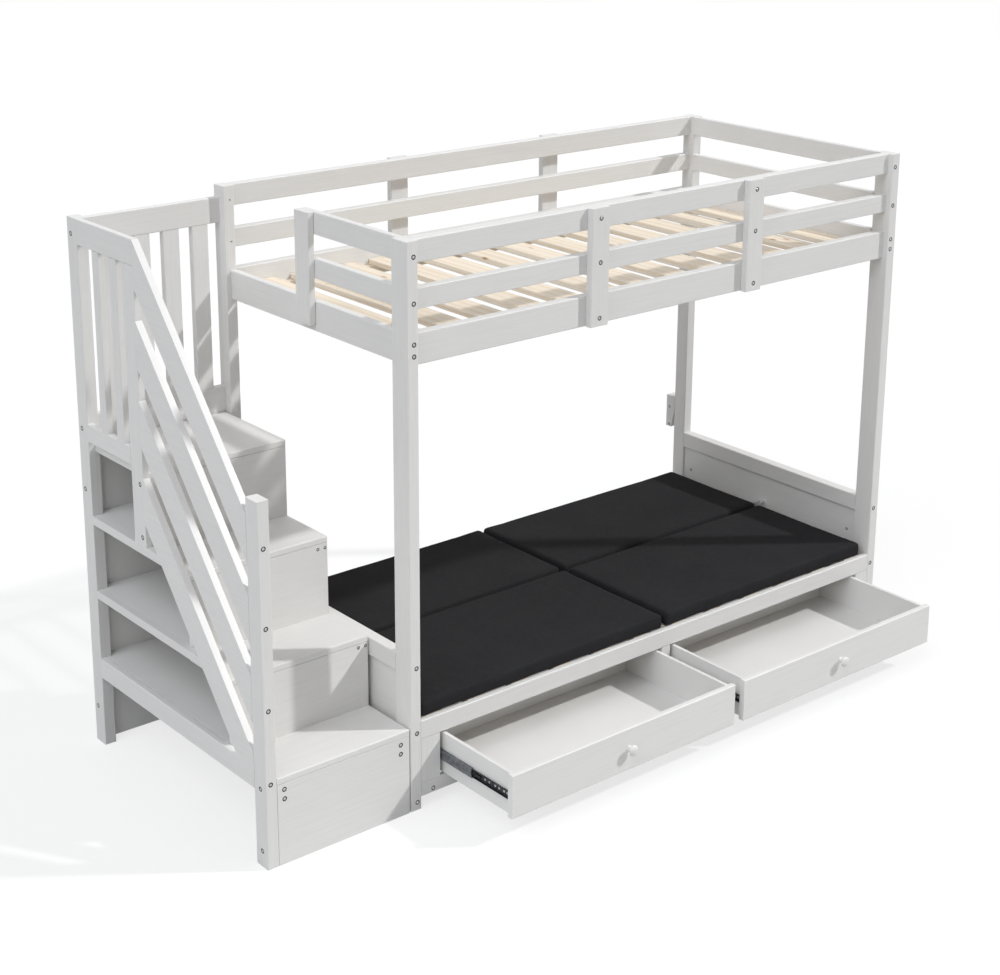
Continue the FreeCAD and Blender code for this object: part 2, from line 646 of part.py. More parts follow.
def shelf_rail(z):
    """A shelf's edge strip: square at the rear post, cut to the lowest bar's slope in front."""
    rear = REAR_POST_Y[0]
    outline = [(bar_foot_y(z[0]), z[0]), (rear, z[0]), (rear, z[1]), (bar_foot_y(z[1]), z[1])]
    return panel_yz(outline, SIDE_FRAME_X)


def make_stair_side():
    x = SIDE_FRAME_X
    rear = REAR_POST_Y[0]
    add("stair_sloping_bars", *[sloping_bar(number) for number in range(BAR_COUNT)])
    stile_bottom = SHELF_RAILS_Z[1][1]
    add("stair_side_stile", board(x, STILE_Y, (stile_bottom, SIDE_TOP_Z[0])))
    top = board(x, (STILE_Y[0], rear), SIDE_TOP_Z)
    middle = board(x, (STILE_Y[1], rear), SIDE_RAIL_Z)
    bottom = board(x, (NEWEL_DEPTH, rear), BOTTOM_RAIL_Z)
    add("stair_side_rails", top, middle, bottom, *[shelf_rail(z) for z in SHELF_RAILS_Z])


def make_stair_boxes():
    left = STAIR_INNER_X[0]
    right = STAIR_INNER_X[1]
    treads = []
    risers = []
    shelves = []
    faces = RISER_FACES + (STAIR_BACK_Y - RISER_THICK,)
    for step, top in enumerate(TREAD_TOPS):
        front = faces[step]
        back = faces[step + 1] + RISER_THICK
        treads.append(board((left, right), (front, back), (top - TREAD_THICK, top)))
        if step > 0:
            below = TREAD_TOPS[step - 1]
            risers.append(block((left, right), (front, front + RISER_THICK), (below, top - TREAD_THICK)))
    newel_room = block(NEWEL_X, (0.0, NEWEL_DEPTH), (0.0, NEWEL_HEIGHT))
    rear_post_room = block(NEWEL_X, STAIR_REAR_POST_Y, (0.0, STAIR_HEIGHT))
    treads[0] = treads[0].cut(newel_room)
    treads[-1] = treads[-1].cut(rear_post_room)
    for shelf, top in enumerate(SHELF_TOPS):
        start = RISER_FACES[shelf + 1] + RISER_THICK
        shelf_x = (left, right - RISER_THICK)
        shelf_board = block(shelf_x, (start, STAIR_BACK_Y), (top - SHELF_THICK, top))
        shelves.append(shelf_board.cut(rear_post_room))
    add("stair_treads", *treads)
    add("stair_risers", *risers)
    add("stair_shelves", *shelves)
    front_x = (NEWEL_X[1], right)
    front_z = (0.0, TREAD_TOPS[0] - TREAD_THICK)
    left_of_wall = right - RISER_THICK
    add("stair_front_panel", block(front_x, (0.0, RISER_THICK), front_z))
    batten_y = (RISER_THICK, RISER_THICK + BATTEN_DEPTH)
    battens_x = ((front_x[0], front_x[0] + BATTEN_WIDTH), (left_of_wall - BATTEN_WIDTH, left_of_wall))
    add("stair_front_battens", *[block(x, batten_y, (BATTEN_FOOT, front_z[1])) for x in battens_x])


def make_stair_bed_side():
    """The stepped wall on the bed's side, whose steps carry the treads."""
    outline = [(STAIR_BACK_Y, 0.0), (RISER_THICK, 0.0)]
    faces = RISER_FACES + (STAIR_BACK_Y - RISER_THICK,)
    for step, top in enumerate(TREAD_TOPS):
        under = top - TREAD_THICK
        outline.append((faces[step] + RISER_THICK, under))
        outline.append((faces[step + 1] + RISER_THICK, under))
    x = (STAIR_RIGHT_X - RISER_THICK, STAIR_RIGHT_X)
    add("stair_bed_side_wall", panel_yz(outline, x))


def make_stair_back():
    x = (NEWEL_X[1], 0.0)
    panel_y = (STAIR_BACK_Y, STAIR_BACK_Y + BACK_PANEL_THICK)
    rail_y = (STAIR_BACK_Y, STAIR_BACK_Y + SIDE_FRAME_THICK)
    add("stair_back_panel", block((x[0], STAIR_RIGHT_X), panel_y, (9.0, STAIR_BACK_RAIL_Z[0])))
    add("stair_back_rails", *[board(x, rail_y, z) for z in (STAIR_GUARD_Z, STAIR_BACK_RAIL_Z)])
    slats = [board(SIDE_FRAME_X, y, (SIDE_RAIL_Z[1], SIDE_TOP_Z[0])) for y in SIDE_SLATS_Y]
    for number in range(REAR_SLAT_COUNT):
        left = REAR_SLAT_FIRST_X + number * REAR_SLAT_PITCH
        slat_z = (STAIR_BACK_RAIL_Z[1], STAIR_GUARD_Z[0])
        slats.append(board((left, left + REAR_SLAT_WIDTH), rail_y, slat_z))
    add("stair_guard_slats", *slats)


# ---------------------------------------------------------------- bolts
def place_bolts():
    """Flush bolts where the joints are drawn together, each through one board into the next."""
    for x in (POST_BOLT_INSET, BED_LENGTH - POST_BOLT_INSET):
        for z in CORNER_BOLT_Z + FOOT_BOLT_Z:
            bolt(x, 0.0, z, Y_AXIS, FRONT_POST_DEPTH + BITE)
        for z in CORNER_BOLT_Z:
            bolt(x, BED_DEPTH, z, Y_AXIS * -1, REAR_POST_DEPTH + BITE)
    for x in UPRIGHT_CENTRES:
        for z in UPRIGHT_BOLT_Z:
            bolt(x, RAIL_SETBACK - UPRIGHT_THICK, z, Y_AXIS, UPRIGHT_THICK + RAIL_THICK - 6)
            bolt(x, REAR_RAIL_OUTER_Y + UPRIGHT_THICK, z, Y_AXIS * -1, UPRIGHT_THICK + RAIL_THICK - 6)
    for z in NEWEL_FRONT_BOLT_Z:
        bolt(NEWEL_BOLT_X, 0.0, z, Y_AXIS, NEWEL_DEPTH + BITE)
    for z in NEWEL_SIDE_BOLT_Z:
        bolt(STAIR_LEFT_X, BATTEN_BOLT_Y, z, X_AXIS, POST_THICK + BITE - 5)
    for z in REAR_POST_BOLT_Z:
        bolt(STAIR_LEFT_X, STAIR_BACK_Y + BACK_PANEL_THICK / 2, z, X_AXIS, POST_THICK + BITE)
    for z in STILE_BOLT_Z:
        bolt(STAIR_LEFT_X, RISER_FACES[3] + RISER_THICK / 2, z, X_AXIS, SIDE_FRAME_THICK + BITE)
    for x in FRONT_PANEL_BOLT_X:
        for z in FRONT_PANEL_BOLT_Z:
            bolt(x, 0.0, z, Y_AXIS, RISER_THICK + BATTEN_DEPTH - 5)


def seat_bolts():
    """Make the bolts, and drill their holes in whatever they pass through."""
    add("frame_bolts", *[bolt_solid(place, axis, length, 0.0) for place, axis, length in bolts])
    holes = [bolt_solid(place, axis, length, HOLE_PLAY) for place, axis, length in bolts]
    for name, solids in nodes.items():
        if name == "frame_bolts":
            continue
        for index, solid in enumerate(solids):
            hits = [hole for hole in holes if hole.BoundBox.intersect(solid.BoundBox)]
            if hits:
                solids[index] = solid.cut(hits)


def export():
    os.makedirs("parts", exist_ok=True)
    for name, solids in nodes.items():
        moved = [solid.translated(ORIGIN * -1) for solid in solids]
        shape = moved[0] if len(moved) == 1 else Part.makeCompound(moved)
        shape.exportStep("parts/" + name + ".step")
    print(len(nodes), "nodes,", sum(len(solids) for solids in nodes.values()), "solids")


make_posts()
make_upper_rails()
make_uprights()
make_upper_deck()
make_end_panels()
make_face_frame()
make_seat_structure()
make_seat()
make_backrest()
drill_end_panels()
make_cushions()
make_stop_blocks()
make_drawers()
make_stair_posts()
make_stair_side()
make_stair_boxes()
make_stair_bed_side()
make_stair_back()
place_bolts()
seat_bolts()
export()
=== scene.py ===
"""Looks of a white bunk bed with storage stairs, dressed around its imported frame.

Every place is worked out from the frame's own boxes. Sizes are in millimetres in the dataclass fields
and are turned to metres by mm().
"""

import json
import logging
import math
from dataclasses import dataclass, field
from enum import Enum
from typing import Any, Iterable, Sequence

import bmesh
import bpy
import numpy as np
from mathutils import Matrix, Vector, noise
from mathutils.bvhtree import BVHTree

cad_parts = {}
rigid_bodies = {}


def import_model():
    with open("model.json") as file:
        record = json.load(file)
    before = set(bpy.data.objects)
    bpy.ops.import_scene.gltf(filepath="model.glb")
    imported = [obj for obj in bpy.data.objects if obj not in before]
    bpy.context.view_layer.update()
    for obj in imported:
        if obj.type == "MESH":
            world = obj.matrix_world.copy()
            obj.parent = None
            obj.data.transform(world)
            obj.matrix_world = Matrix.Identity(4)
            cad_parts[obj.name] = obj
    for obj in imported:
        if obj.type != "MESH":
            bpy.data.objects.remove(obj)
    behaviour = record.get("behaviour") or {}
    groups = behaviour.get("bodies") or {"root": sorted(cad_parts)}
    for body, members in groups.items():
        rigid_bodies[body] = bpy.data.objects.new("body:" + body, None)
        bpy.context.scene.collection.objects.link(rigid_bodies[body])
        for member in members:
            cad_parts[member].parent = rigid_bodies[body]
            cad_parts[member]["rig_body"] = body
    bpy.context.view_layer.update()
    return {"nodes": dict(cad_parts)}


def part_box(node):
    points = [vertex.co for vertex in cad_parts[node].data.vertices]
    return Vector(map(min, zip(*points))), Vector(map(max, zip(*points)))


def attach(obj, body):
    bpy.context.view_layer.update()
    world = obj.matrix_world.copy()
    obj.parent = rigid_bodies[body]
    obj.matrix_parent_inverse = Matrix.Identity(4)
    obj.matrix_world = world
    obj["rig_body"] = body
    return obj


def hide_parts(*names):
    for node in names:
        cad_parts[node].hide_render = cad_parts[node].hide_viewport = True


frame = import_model()

log = logging.getLogger("bunk_bed")

PHOTO_WIDTH = 1000
PHOTO_HEIGHT = 975


# ------------------------------------------------------------------------------------------ units
def mm(value: float) -> float:
    """Turn millimetres into metres."""
    return value / 1000.0


def corner(node: str) -> Vector:
    """The lowest corner of a CAD node, in metres."""
    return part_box(node)[0]


BENCH = corner("front_left_post")


def at(x: float, y: float, z: float) -> Vector:
    """A place measured in millimetres from the front left post's outer front corner on the floor.

    Args:
        x: Distance along the bed, away from the stairs.
        y: Distance from the front, towards the back.
        z: Height above the floor.

    Returns:
        The same place in the row frame, in metres.
    """
    return BENCH + Vector((mm(x), mm(y), mm(z)))


def hex_colour(code: str) -> tuple[float, float, float, float]:
    """Turn an sRGB hex colour into linear values.

    Args:
        code: A colour such as "#E3E4E6".

    Returns:
        Linear red, green and blue, and an alpha of 1.
    """
    channels = [int(code[place:place + 2], 16) / 255.0 for place in (1, 3, 5)]
    linear = [c / 12.92 if c <= 0.04045 else ((c + 0.055) / 1.055) ** 2.4 for c in channels]
    return (*linear, 1.0)


# ------------------------------------------------------------------------------------------ nodes
def add_node(tree: bpy.types.NodeTree, kind: str, inputs: dict[Any, Any] | None = None,
             **settings: Any) -> bpy.types.Node:
    """Add one node with its settings and links.

    Args:
        tree: The tree that gets the node.
        kind: The node's type name.
        inputs: For each input's name or number, a socket to link to or a value to set.
        **settings: The node's own properties.

    Returns:
        The new node.
    """
    node = tree.nodes.new(kind)
    for name, value in settings.items():
        setattr(node, name, value)
    for key, value in (inputs or {}).items():
        if isinstance(value, bpy.types.NodeSocket):
            tree.links.new(value, node.inputs[key])
        else:
            node.inputs[key].default_value = value
    return node


def start_material(name: str) -> tuple[bpy.types.Material, bpy.types.NodeTree]:
    """Make an empty node material.

    Args:
        name: The material's name.

    Returns:
        The material and its tree.
    """
    material = bpy.data.materials.new(name)
    material.use_nodes = True
    material.node_tree.nodes.clear()
    return material, material.node_tree


def finish_material(material: bpy.types.Material, shader: bpy.types.Node,
                    colour: str) -> bpy.types.Material:
    """Join a shader to the material's output.

    Args:
        material: The material.
        shader: The last shader node.
        colour: The hex colour that stands for it in a plain viewport.

    Returns:
        The same material.
    """
    add_node(material.node_tree, "ShaderNodeOutputMaterial", {"Surface": shader.outputs[0]})
    material.diffuse_color = hex_colour(colour)
    return material


def noise_node(tree: bpy.types.NodeTree, place: bpy.types.NodeSocket, scale: float, detail: float,
               **more: float) -> bpy.types.Node:
    """Add a noise texture at a place, with any further inputs by name."""
    return add_node(tree, "ShaderNodeTexNoise", {"Vector": place, "Scale": scale, "Detail": detail, **more})


def bump_node(tree: bpy.types.NodeTree, height: bpy.types.NodeSocket, strength: float, distance: float,
              **more: Any) -> bpy.types.Node:
    """Add a bump from a height pattern, with any further inputs by name."""
    inputs = {"Height": height, "Strength": strength, "Distance": distance, **more}
    return add_node(tree, "ShaderNodeBump", inputs)


def object_place(tree: bpy.types.NodeTree) -> bpy.types.NodeSocket:
    """The object coordinates that every pattern is laid out in."""
    return add_node(tree, "ShaderNodeTexCoord").outputs["Object"]


def two_tones(tree: bpy.types.NodeTree, amount: bpy.types.NodeSocket, first: str,
              second: str) -> bpy.types.NodeSocket:
    """Mix two hex colours by a pattern.

    Args:
        tree: The material's tree.
        amount: The pattern, from 0 for the first colour to 1 for the second.
        first: The first hex colour.
        second: The second hex colour.

    Returns:
        The mixed colour's socket.
    """
    mix = add_node(tree, "ShaderNodeMix", {"Factor": amount}, data_type="RGBA")
    mix.inputs[6].default_value = hex_colour(first)
    mix.inputs[7].default_value = hex_colour(second)
    return mix.outputs[2]


def spread(tree: bpy.types.NodeTree, value: bpy.types.NodeSocket, low: float, high: float,
           to_low: float = 0.0, to_high: float = 1.0) -> bpy.types.NodeSocket:
    """Map a pattern's range onto another, held at its ends.

    Args:
        tree: The material's tree.
        value: The pattern.
        low: The value that becomes to_low.
        high: The value that becomes to_high.
        to_low: The result at the low end.
        to_high: The result at the high end.

    Returns:
        The mapped pattern's socket.
    """
    sockets = {"Value": value, "From Min": low, "From Max": high, "To Min": to_low, "To Max": to_high}
    return add_node(tree, "ShaderNodeMapRange", sockets, clamp=True).outputs["Result"]


# ------------------------------------------------------------------------------------------ finishes
class Grain(Enum):
    """The way that a board's grain runs in the row frame."""

    ALONG_X = 0
    ALONG_Y = 1
    ALONG_Z = 2

    def stretched(self, width_mm: float, length_mm: float) -> tuple[float, float, float]:
        """Scales of a pattern that is fine across the grain and long along it, per metre."""
        across = 1.0 / mm(width_mm)
        along = 1.0 / mm(length_mm)
        return tuple(along if axis is self else across for axis in Grain)


@dataclass(frozen=True)
class LacqueredPine:
    """Solid pine under sprayed satin white lacquer.

    The spray fills the grain almost flush, so the eye gets an even white with a soft sheen, a faint
    silkiness along each board and a slight change of tone from one board to the next.
    """

    name: str = "satin_lacquer_on_pine"
    coat: str = "#E6E5E3"
    thin_coat: str = "#E1E0DE"
    roughness: tuple[float, float] = (0.40, 0.50)
    grain_width: float = 5.0
    grain_length: float = 180.0
    orange_peel: float = 2.2
    board_change: float = 0.025

    def material(self, grain: Grain) -> bpy.types.Material:
        """Make the material for boards whose grain runs one way.

        Args:
            grain: The way the grain runs.

        Returns:
            The material.
        """
        made, tree = start_material(f"{self.name}_{grain.name.lower()}")
        place = object_place(tree)
        board = add_node(tree, "ShaderNodeNewGeometry").outputs["Random Per Island"]
        shift = add_node(tree, "ShaderNodeVectorMath", {0: place, 1: board}, operation="ADD").outputs[0]
        scale = grain.stretched(self.grain_width, self.grain_length)
        run = add_node(tree, "ShaderNodeMapping", {"Vector": shift, "Scale": scale}).outputs[0]
        fibres = noise_node(tree, run, 1.0, 5.0, Roughness=0.6, Distortion=0.4)
        cloudy = noise_node(tree, place, 6.0, 2.0)
        fill = spread(tree, fibres.outputs["Fac"], 0.42, 0.72)
        colour = two_tones(tree, fill, self.coat, self.thin_coat)
        tone = spread(tree, board, 0.0, 1.0, 1.0 - self.board_change, 1.0)
        drift = spread(tree, cloudy.outputs["Fac"], 0.3, 0.7, 0.985, 1.0)
        level = add_node(tree, "ShaderNodeMath", {0: tone, 1: drift}, operation="MULTIPLY").outputs[0]
        shaded = add_node(tree, "ShaderNodeVectorMath", {0: colour, "Scale": level}, operation="SCALE")
        gloss = spread(tree, cloudy.outputs["Fac"], 0.3, 0.7, *self.roughness)
        peel = noise_node(tree, place, 1.0 / mm(self.orange_peel), 1.0)
        fibre_relief = bump_node(tree, fibres.outputs["Fac"], 0.08, 0.0006)
        relief = bump_node(tree, peel.outputs["Fac"], 0.05, 0.0003, Normal=fibre_relief.outputs[0])
        shader = add_node(tree, "ShaderNodeBsdfPrincipled",
                          {"Base Color": shaded.outputs[0], "Roughness": gloss, "Normal": relief.outputs[0],
                           "IOR": 1.5})
        return finish_material(made, shader, self.coat)


@dataclass(frozen=True)
class CoatedBoard:
    """Particle board under a white melamine film, pressed with a fine leathery texture.

    It is smoother and flatter than the lacquered wood, so the eye gets an even matt white.
    """

    name: str = "melamine_board"
    film: str = "#E4E3E1"
    film_low: str = "#DEDDDB"
    roughness: float = 0.52
    texture_grit: float = 1.6

    def material(self) -> bpy.types.Material:
        """Make the board's material."""
        made, tree = start_material(self.name)
        place = object_place(tree)
        pores = noise_node(tree, place, 1.0 / mm(self.texture_grit), 3.0)
        broad = noise_node(tree, place, 3.0, 2.0)
        colour = two_tones(tree, spread(tree, broad.outputs["Fac"], 0.35, 0.75), self.film, self.film_low)
        relief = bump_node(tree, pores.outputs["Fac"], 0.08, 0.0003)
        shader = add_node(tree, "ShaderNodeBsdfPrincipled",
                          {"Base Color": colour, "Roughness": self.roughness, "Normal": relief.outputs[0],
                           "IOR": 1.5})
        return finish_material(made, shader, self.film)


@dataclass(frozen=True)
class BarePine:
    """Planed pine left without a finish.

    Pale cream early wood between honey late-wood lines, with a small brown knot here and there.
    """

    name: str = "planed_pine"
    early_wood: str = "#F0E5D5"
    late_wood: str = "#DFCAAB"
    knot: str = "#A8794E"
    ring_width: float = 9.0
    ring_length: float = 520.0
    knot_spacing: float = 210.0
    roughness: float = 0.62

    def material(self, grain: Grain) -> bpy.types.Material:
        """Make the material for boards whose grain runs one way.

        Args:
            grain: The way the grain runs.

        Returns:
            The material.
        """
        made, tree = start_material(f"{self.name}_{grain.name.lower()}")
        place = object_place(tree)
        board = add_node(tree, "ShaderNodeNewGeometry").outputs["Random Per Island"]
        jump = add_node(tree, "ShaderNodeMath", {0: board, 1: 7.0}, operation="MULTIPLY").outputs[0]
        own = add_node(tree, "ShaderNodeVectorMath", {0: place, 1: jump}, operation="ADD").outputs[0]
        scale = grain.stretched(self.ring_width, self.ring_length)
        run = add_node(tree, "ShaderNodeMapping", {"Vector": own, "Scale": scale}).outputs[0]
        drift = noise_node(tree, run, 0.35, 3.0, Roughness=0.55)
        bent = add_node(tree, "ShaderNodeVectorMath",
                        {0: drift.outputs["Color"], 1: (2.2, 2.2, 2.2), 2: run}, operation="MULTIPLY_ADD")
        rings = add_node(tree, "ShaderNodeTexWave",
                         {"Vector": bent.outputs[0], "Scale": 0.16, "Distortion": 1.2, "Detail": 2.0},
                         wave_type="BANDS", bands_direction="DIAGONAL", wave_profile="SAW")
        line = spread(tree, rings.outputs["Fac"], 0.45, 1.0)
        fibres = noise_node(tree, run, 4.0, 4.0, Roughness=0.65)
        fleck = spread(tree, fibres.outputs["Fac"], 0.35, 0.75, 0.0, 0.35)
        amount = add_node(tree, "ShaderNodeMath", {0: line, 1: 0.6, 2: fleck}, operation="MULTIPLY_ADD")
        wood = two_tones(tree, amount.outputs[0], self.early_wood, self.late_wood)
        knot_scale = grain.stretched(self.knot_spacing * 0.45, self.knot_spacing)
        knot_run = add_node(tree, "ShaderNodeMapping", {"Vector": own, "Scale": knot_scale}).outputs[0]
        cells = add_node(tree, "ShaderNodeTexVoronoi", {"Vector": knot_run, "Scale": 1.0}, feature="F1")
        core = spread(tree, cells.outputs["Distance"], 0.10, 0.03)
        knotted = add_node(tree, "ShaderNodeMix", {"Factor": core, 6: wood}, data_type="RGBA")
        knotted.inputs[7].default_value = hex_colour(self.knot)
        tone = spread(tree, board, 0.0, 1.0, 0.93, 1.0)
        shaded = add_node(tree, "ShaderNodeVectorMath", {0: knotted.outputs[2], "Scale": tone},
                          operation="SCALE")
        relief = bump_node(tree, fibres.outputs["Fac"], 0.25, 0.0006)
        shader = add_node(tree, "ShaderNodeBsdfPrincipled",
                          {"Base Color": shaded.outputs[0], "Roughness": self.roughness,
                           "Normal": relief.outputs[0], "IOR": 1.45})
        return finish_material(made, shader, self.early_wood)


@dataclass(frozen=True)
class WovenPolyester:
    """Plain-woven black polyester cover.

    The yarns break the light up, so the eye gets a deep matt black. The real threads are about 0.6 mm
    apart; they are drawn coarser so that they show.
    """

    name: str = "woven_polyester"
    yarn: str = "#343435"
    yarn_low: str = "#28282A"
    thread_spacing: float = 2.4
    roughness: float = 0.86
    shine: float = 0.03

    def material(self) -> bpy.types.Material:
        """Make the cloth's material."""
        made, tree = start_material(self.name)
        place = object_place(tree)
        turns = add_node(tree, "ShaderNodeVectorMath",
                         {0: place, "Scale": 2.0 * math.pi / mm(self.thread_spacing)}, operation="SCALE")
        waves = add_node(tree, "ShaderNodeVectorMath", {0: turns.outputs[0]}, operation="SINE")
        part = add_node(tree, "ShaderNodeSeparateXYZ", {0: waves.outputs[0]})
        x, y, z = (part.outputs[axis] for axis in range(3))
        over = add_node(tree, "ShaderNodeMath", {0: x, 1: y}, operation="MULTIPLY")
        front = add_node(tree, "ShaderNodeMath", {0: x, 1: z, 2: over.outputs[0]}, operation="MULTIPLY_ADD")
        weave = add_node(tree, "ShaderNodeMath", {0: y, 1: z, 2: front.outputs[0]}, operation="MULTIPLY_ADD")
        raised = spread(tree, weave.outputs[0], -1.2, 1.2)
        slub = noise_node(tree, place, 60.0, 4.0)
        rubbed = noise_node(tree, place, 5.0, 3.0)
        both = add_node(tree, "ShaderNodeMath", {0: raised, 1: 0.55}, operation="MULTIPLY")
        loose = spread(tree, slub.outputs["Fac"], 0.3, 0.7, 0.0, 0.25)
        worn = spread(tree, rubbed.outputs["Fac"], 0.35, 0.7, 0.0, 0.2)
        more = add_node(tree, "ShaderNodeMath", {0: both.outputs[0], 1: loose}, operation="ADD")
        amount = add_node(tree, "ShaderNodeMath", {0: more.outputs[0], 1: worn}, operation="ADD")
        colour = two_tones(tree, amount.outputs[0], self.yarn_low, self.yarn)
        relief = bump_node(tree, weave.outputs[0], 0.3, 0.0004)
        shader = add_node(tree, "ShaderNodeBsdfPrincipled",
                          {"Base Color": colour, "Roughness": self.roughness, "Normal": relief.outputs[0],
                           "IOR": 1.45, "Specular IOR Level": self.shine})
        return finish_material(made, shader, self.yarn)


@dataclass(frozen=True)
class WorkedSteel:
    """Steel, with its plating and the marks of how it was formed.

    Rolling leaves fine lines along the piece, and the plating decides how bright it looks.
    """

    name: str
    metal: str
    metal_low: str
    roughness: float
    line_width: float = 0.8
    line_length: float = 60.0
    grain: Grain = Grain.ALONG_Y

    def material(self) -> bpy.types.Material:
        """Make the steel's material."""
        made, tree = start_material(self.name)
        place = object_place(tree)
        scale = self.grain.stretched(self.line_width, self.line_length)
        run = add_node(tree, "ShaderNodeMapping", {"Vector": place, "Scale": scale}).outputs[0]
        lines = noise_node(tree, run, 1.0, 3.0)
        spangle = noise_node(tree, place, 90.0, 2.0)
        dull = spread(tree, spangle.outputs["Fac"], 0.35, 0.7)
        colour = two_tones(tree, dull, self.metal, self.metal_low)
        gloss = spread(tree, lines.outputs["Fac"], 0.3, 0.7, self.roughness, self.roughness + 0.14)
        relief = bump_node(tree, lines.outputs["Fac"], 0.12, 0.0002)
        shader = add_node(tree, "ShaderNodeBsdfPrincipled",
                          {"Base Color": colour, "Metallic": 1.0, "Roughness": gloss,
                           "Normal": relief.outputs[0]})
        return finish_material(made, shader, self.metal)


@dataclass(frozen=True)
class MouldedNylon:
    """Injection-moulded black nylon, as levers and bumpers are; it also colours the black rings round the
    bolt heads, which are painted shade.

    Its skin is slightly grained, which gives a soft, low gloss.
    """

    name: str = "moulded_nylon"
    body: str = "#1E1E20"
    body_low: str = "#161618"
    roughness: float = 0.58
    skin_grit: float = 0.9

    def material(self) -> bpy.types.Material:
        """Make the nylon's material."""
        made, tree = start_material(self.name)
        place = object_place(tree)
        skin = noise_node(tree, place, 1.0 / mm(self.skin_grit), 2.0)
        colour = two_tones(tree, spread(tree, skin.outputs["Fac"], 0.3, 0.7), self.body, self.body_low)
        relief = bump_node(tree, skin.outputs["Fac"], 0.1, 0.0002)
        shader = add_node(tree, "ShaderNodeBsdfPrincipled",
                          {"Base Color": colour, "Roughness": self.roughness, "Normal": relief.outputs[0],
                           "IOR": 1.53})
        return finish_material(made, shader, self.body)


@dataclass(frozen=True)
class Finishes:
    """Every finish on the bed, made once."""

    lacquer: dict[Grain, bpy.types.Material]
    pine: dict[Grain, bpy.types.Material]
    board: bpy.types.Material
    cloth: bpy.types.Material
    thread: bpy.types.Material
    slide: bpy.types.Material
    dark_slide: bpy.types.Material
    plate: bpy.types.Material
    bright: bpy.types.Material
    nylon: bpy.types.Material

    @staticmethod
    def make() -> "Finishes":
        """Make all the finishes."""
        lacquer = LacqueredPine()
        pine = BarePine()
        return Finishes(
            lacquer={grain: lacquer.material(grain) for grain in Grain},
            pine={grain: pine.material(grain) for grain in Grain},
            board=CoatedBoard().material(),
            cloth=WovenPolyester().material(),
            thread=WovenPolyester(name="sewing_thread", yarn="#38383A", yarn_low="#2A2A2C").material(),
            slide=WorkedSteel("zinc_plated_slide_steel", "#8F9296", "#73777B", 0.34).material(),
            dark_slide=WorkedSteel("black_zinc_slide_steel", "#4C4E52", "#3A3C40", 0.38).material(),
            plate=WorkedSteel("zinc_plated_plate", "#D8D9DA", "#C6C7C9", 0.52).material(),
            bright=WorkedSteel("nickel_plated_steel", "#D9D9D6", "#BDBDBA", 0.22).material(),
            nylon=MouldedNylon().material(),
        )


# ------------------------------------------------------------------------------------------ meshes
class Slot(Enum):
    """The record's material slots."""

    PAINT = "white_paint"
    BOARD = "white_board"
    PINE = "bare_pine"
    CLOTH = "black_cloth"
    SLIDE = "slide_steel"
    BOLT = "bolt_steel"


def body_of(node: str) -> str:
    """The CAD body that a node belongs to."""
    return frame["nodes"][node]["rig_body"]


def mesh_from(name: str, shape: bmesh.types.BMesh) -> bpy.types.Mesh:
    """Turn a bmesh into a mesh and free it."""
    mesh = bpy.data.meshes.new(name)
    shape.to_mesh(mesh)
    shape.free()
    return mesh


def smooth(mesh: bpy.types.Mesh, sharp_degrees: float = 38.0) -> bpy.types.Mesh:
    """Shade a mesh smooth but for its sharp edges."""
    mesh.polygons.foreach_set("use_smooth", [True] * len(mesh.polygons))
    mesh.set_sharp_from_angle(angle=math.radians(sharp_degrees))
    return mesh


def loose_object(name: str, mesh: bpy.types.Mesh) -> bpy.types.Object:
    """Link a new object that holds a mesh."""
    made = bpy.data.objects.new(name, mesh)
    bpy.context.scene.collection.objects.link(made)
    return made


def add_piece(name: str, mesh: bpy.types.Mesh, body: str, material: bpy.types.Material,
              replaces: Iterable[str] = ()) -> bpy.types.Object:
    """Put a finished mesh on a body as a named piece.

    Args:
        name: The piece's name.
        mesh: Its mesh, in place in the row frame.
        body: The CAD body that it rides on.
        material: Its finish.
        replaces: The CAD nodes that it stands for.

    Returns:
        The piece.
    """
    piece = loose_object(name, mesh)
    mesh.materials.clear()
    mesh.materials.append(material)
    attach(piece, body)
    stood_for = list(replaces)
    if stood_for:
        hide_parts(*stood_for)
    log.info("%s: %d faces on %s", name, len(mesh.polygons), body)
    return piece


def evaluated_mesh(source: bpy.types.Object) -> bpy.types.Mesh:
    """A plain mesh of an object as its modifiers leave it."""
    graph = bpy.context.evaluated_depsgraph_get()
    return bpy.data.meshes.new_from_object(source.evaluated_get(graph))


Triangle = tuple[Vector, Vector, Vector]


def solids_of(node: str) -> list[list[Triangle]]:
    """Sort a CAD node's loose triangles into its closed solids.

    The triangles come solid by solid, so each solid ends where every edge has met its partner. Boards
    that touch stay apart this way, which welding alone would not give.

    Args:
        node: The CAD node.

    Returns:
        The triangles of each solid.
    """
    mesh = frame["nodes"][node].data
    solids = []
    run = []
    unmatched: dict[tuple[Any, Any], int] = {}
    for face in mesh.polygons:
        points = [mesh.vertices[number].co.copy() for number in face.vertices]
        keys = [weld_key(point) for point in points]
        for first, second in zip(keys, keys[1:] + keys[:1]):
            if unmatched.get((second, first), 0):
                unmatched[(second, first)] -= 1
                if not unmatched[(second, first)]:
                    del unmatched[(second, first)]
            elif first != second:
                unmatched[(first, second)] = unmatched.get((first, second), 0) + 1
        run.append(tuple(points))
        if not unmatched:
            solids.append(run)
            run = []
    if run:
        log.warning("%s: %d triangles are left without a closed solid", node, len(run))
        solids.append(run)
    return solids


def weld_key(point: Vector) -> tuple[int, int, int]:
    """A name for a point that is the same for every triangle corner within 0.01 mm of it."""
    return tuple(math.floor(value * 100000.0 + 0.37) for value in point)


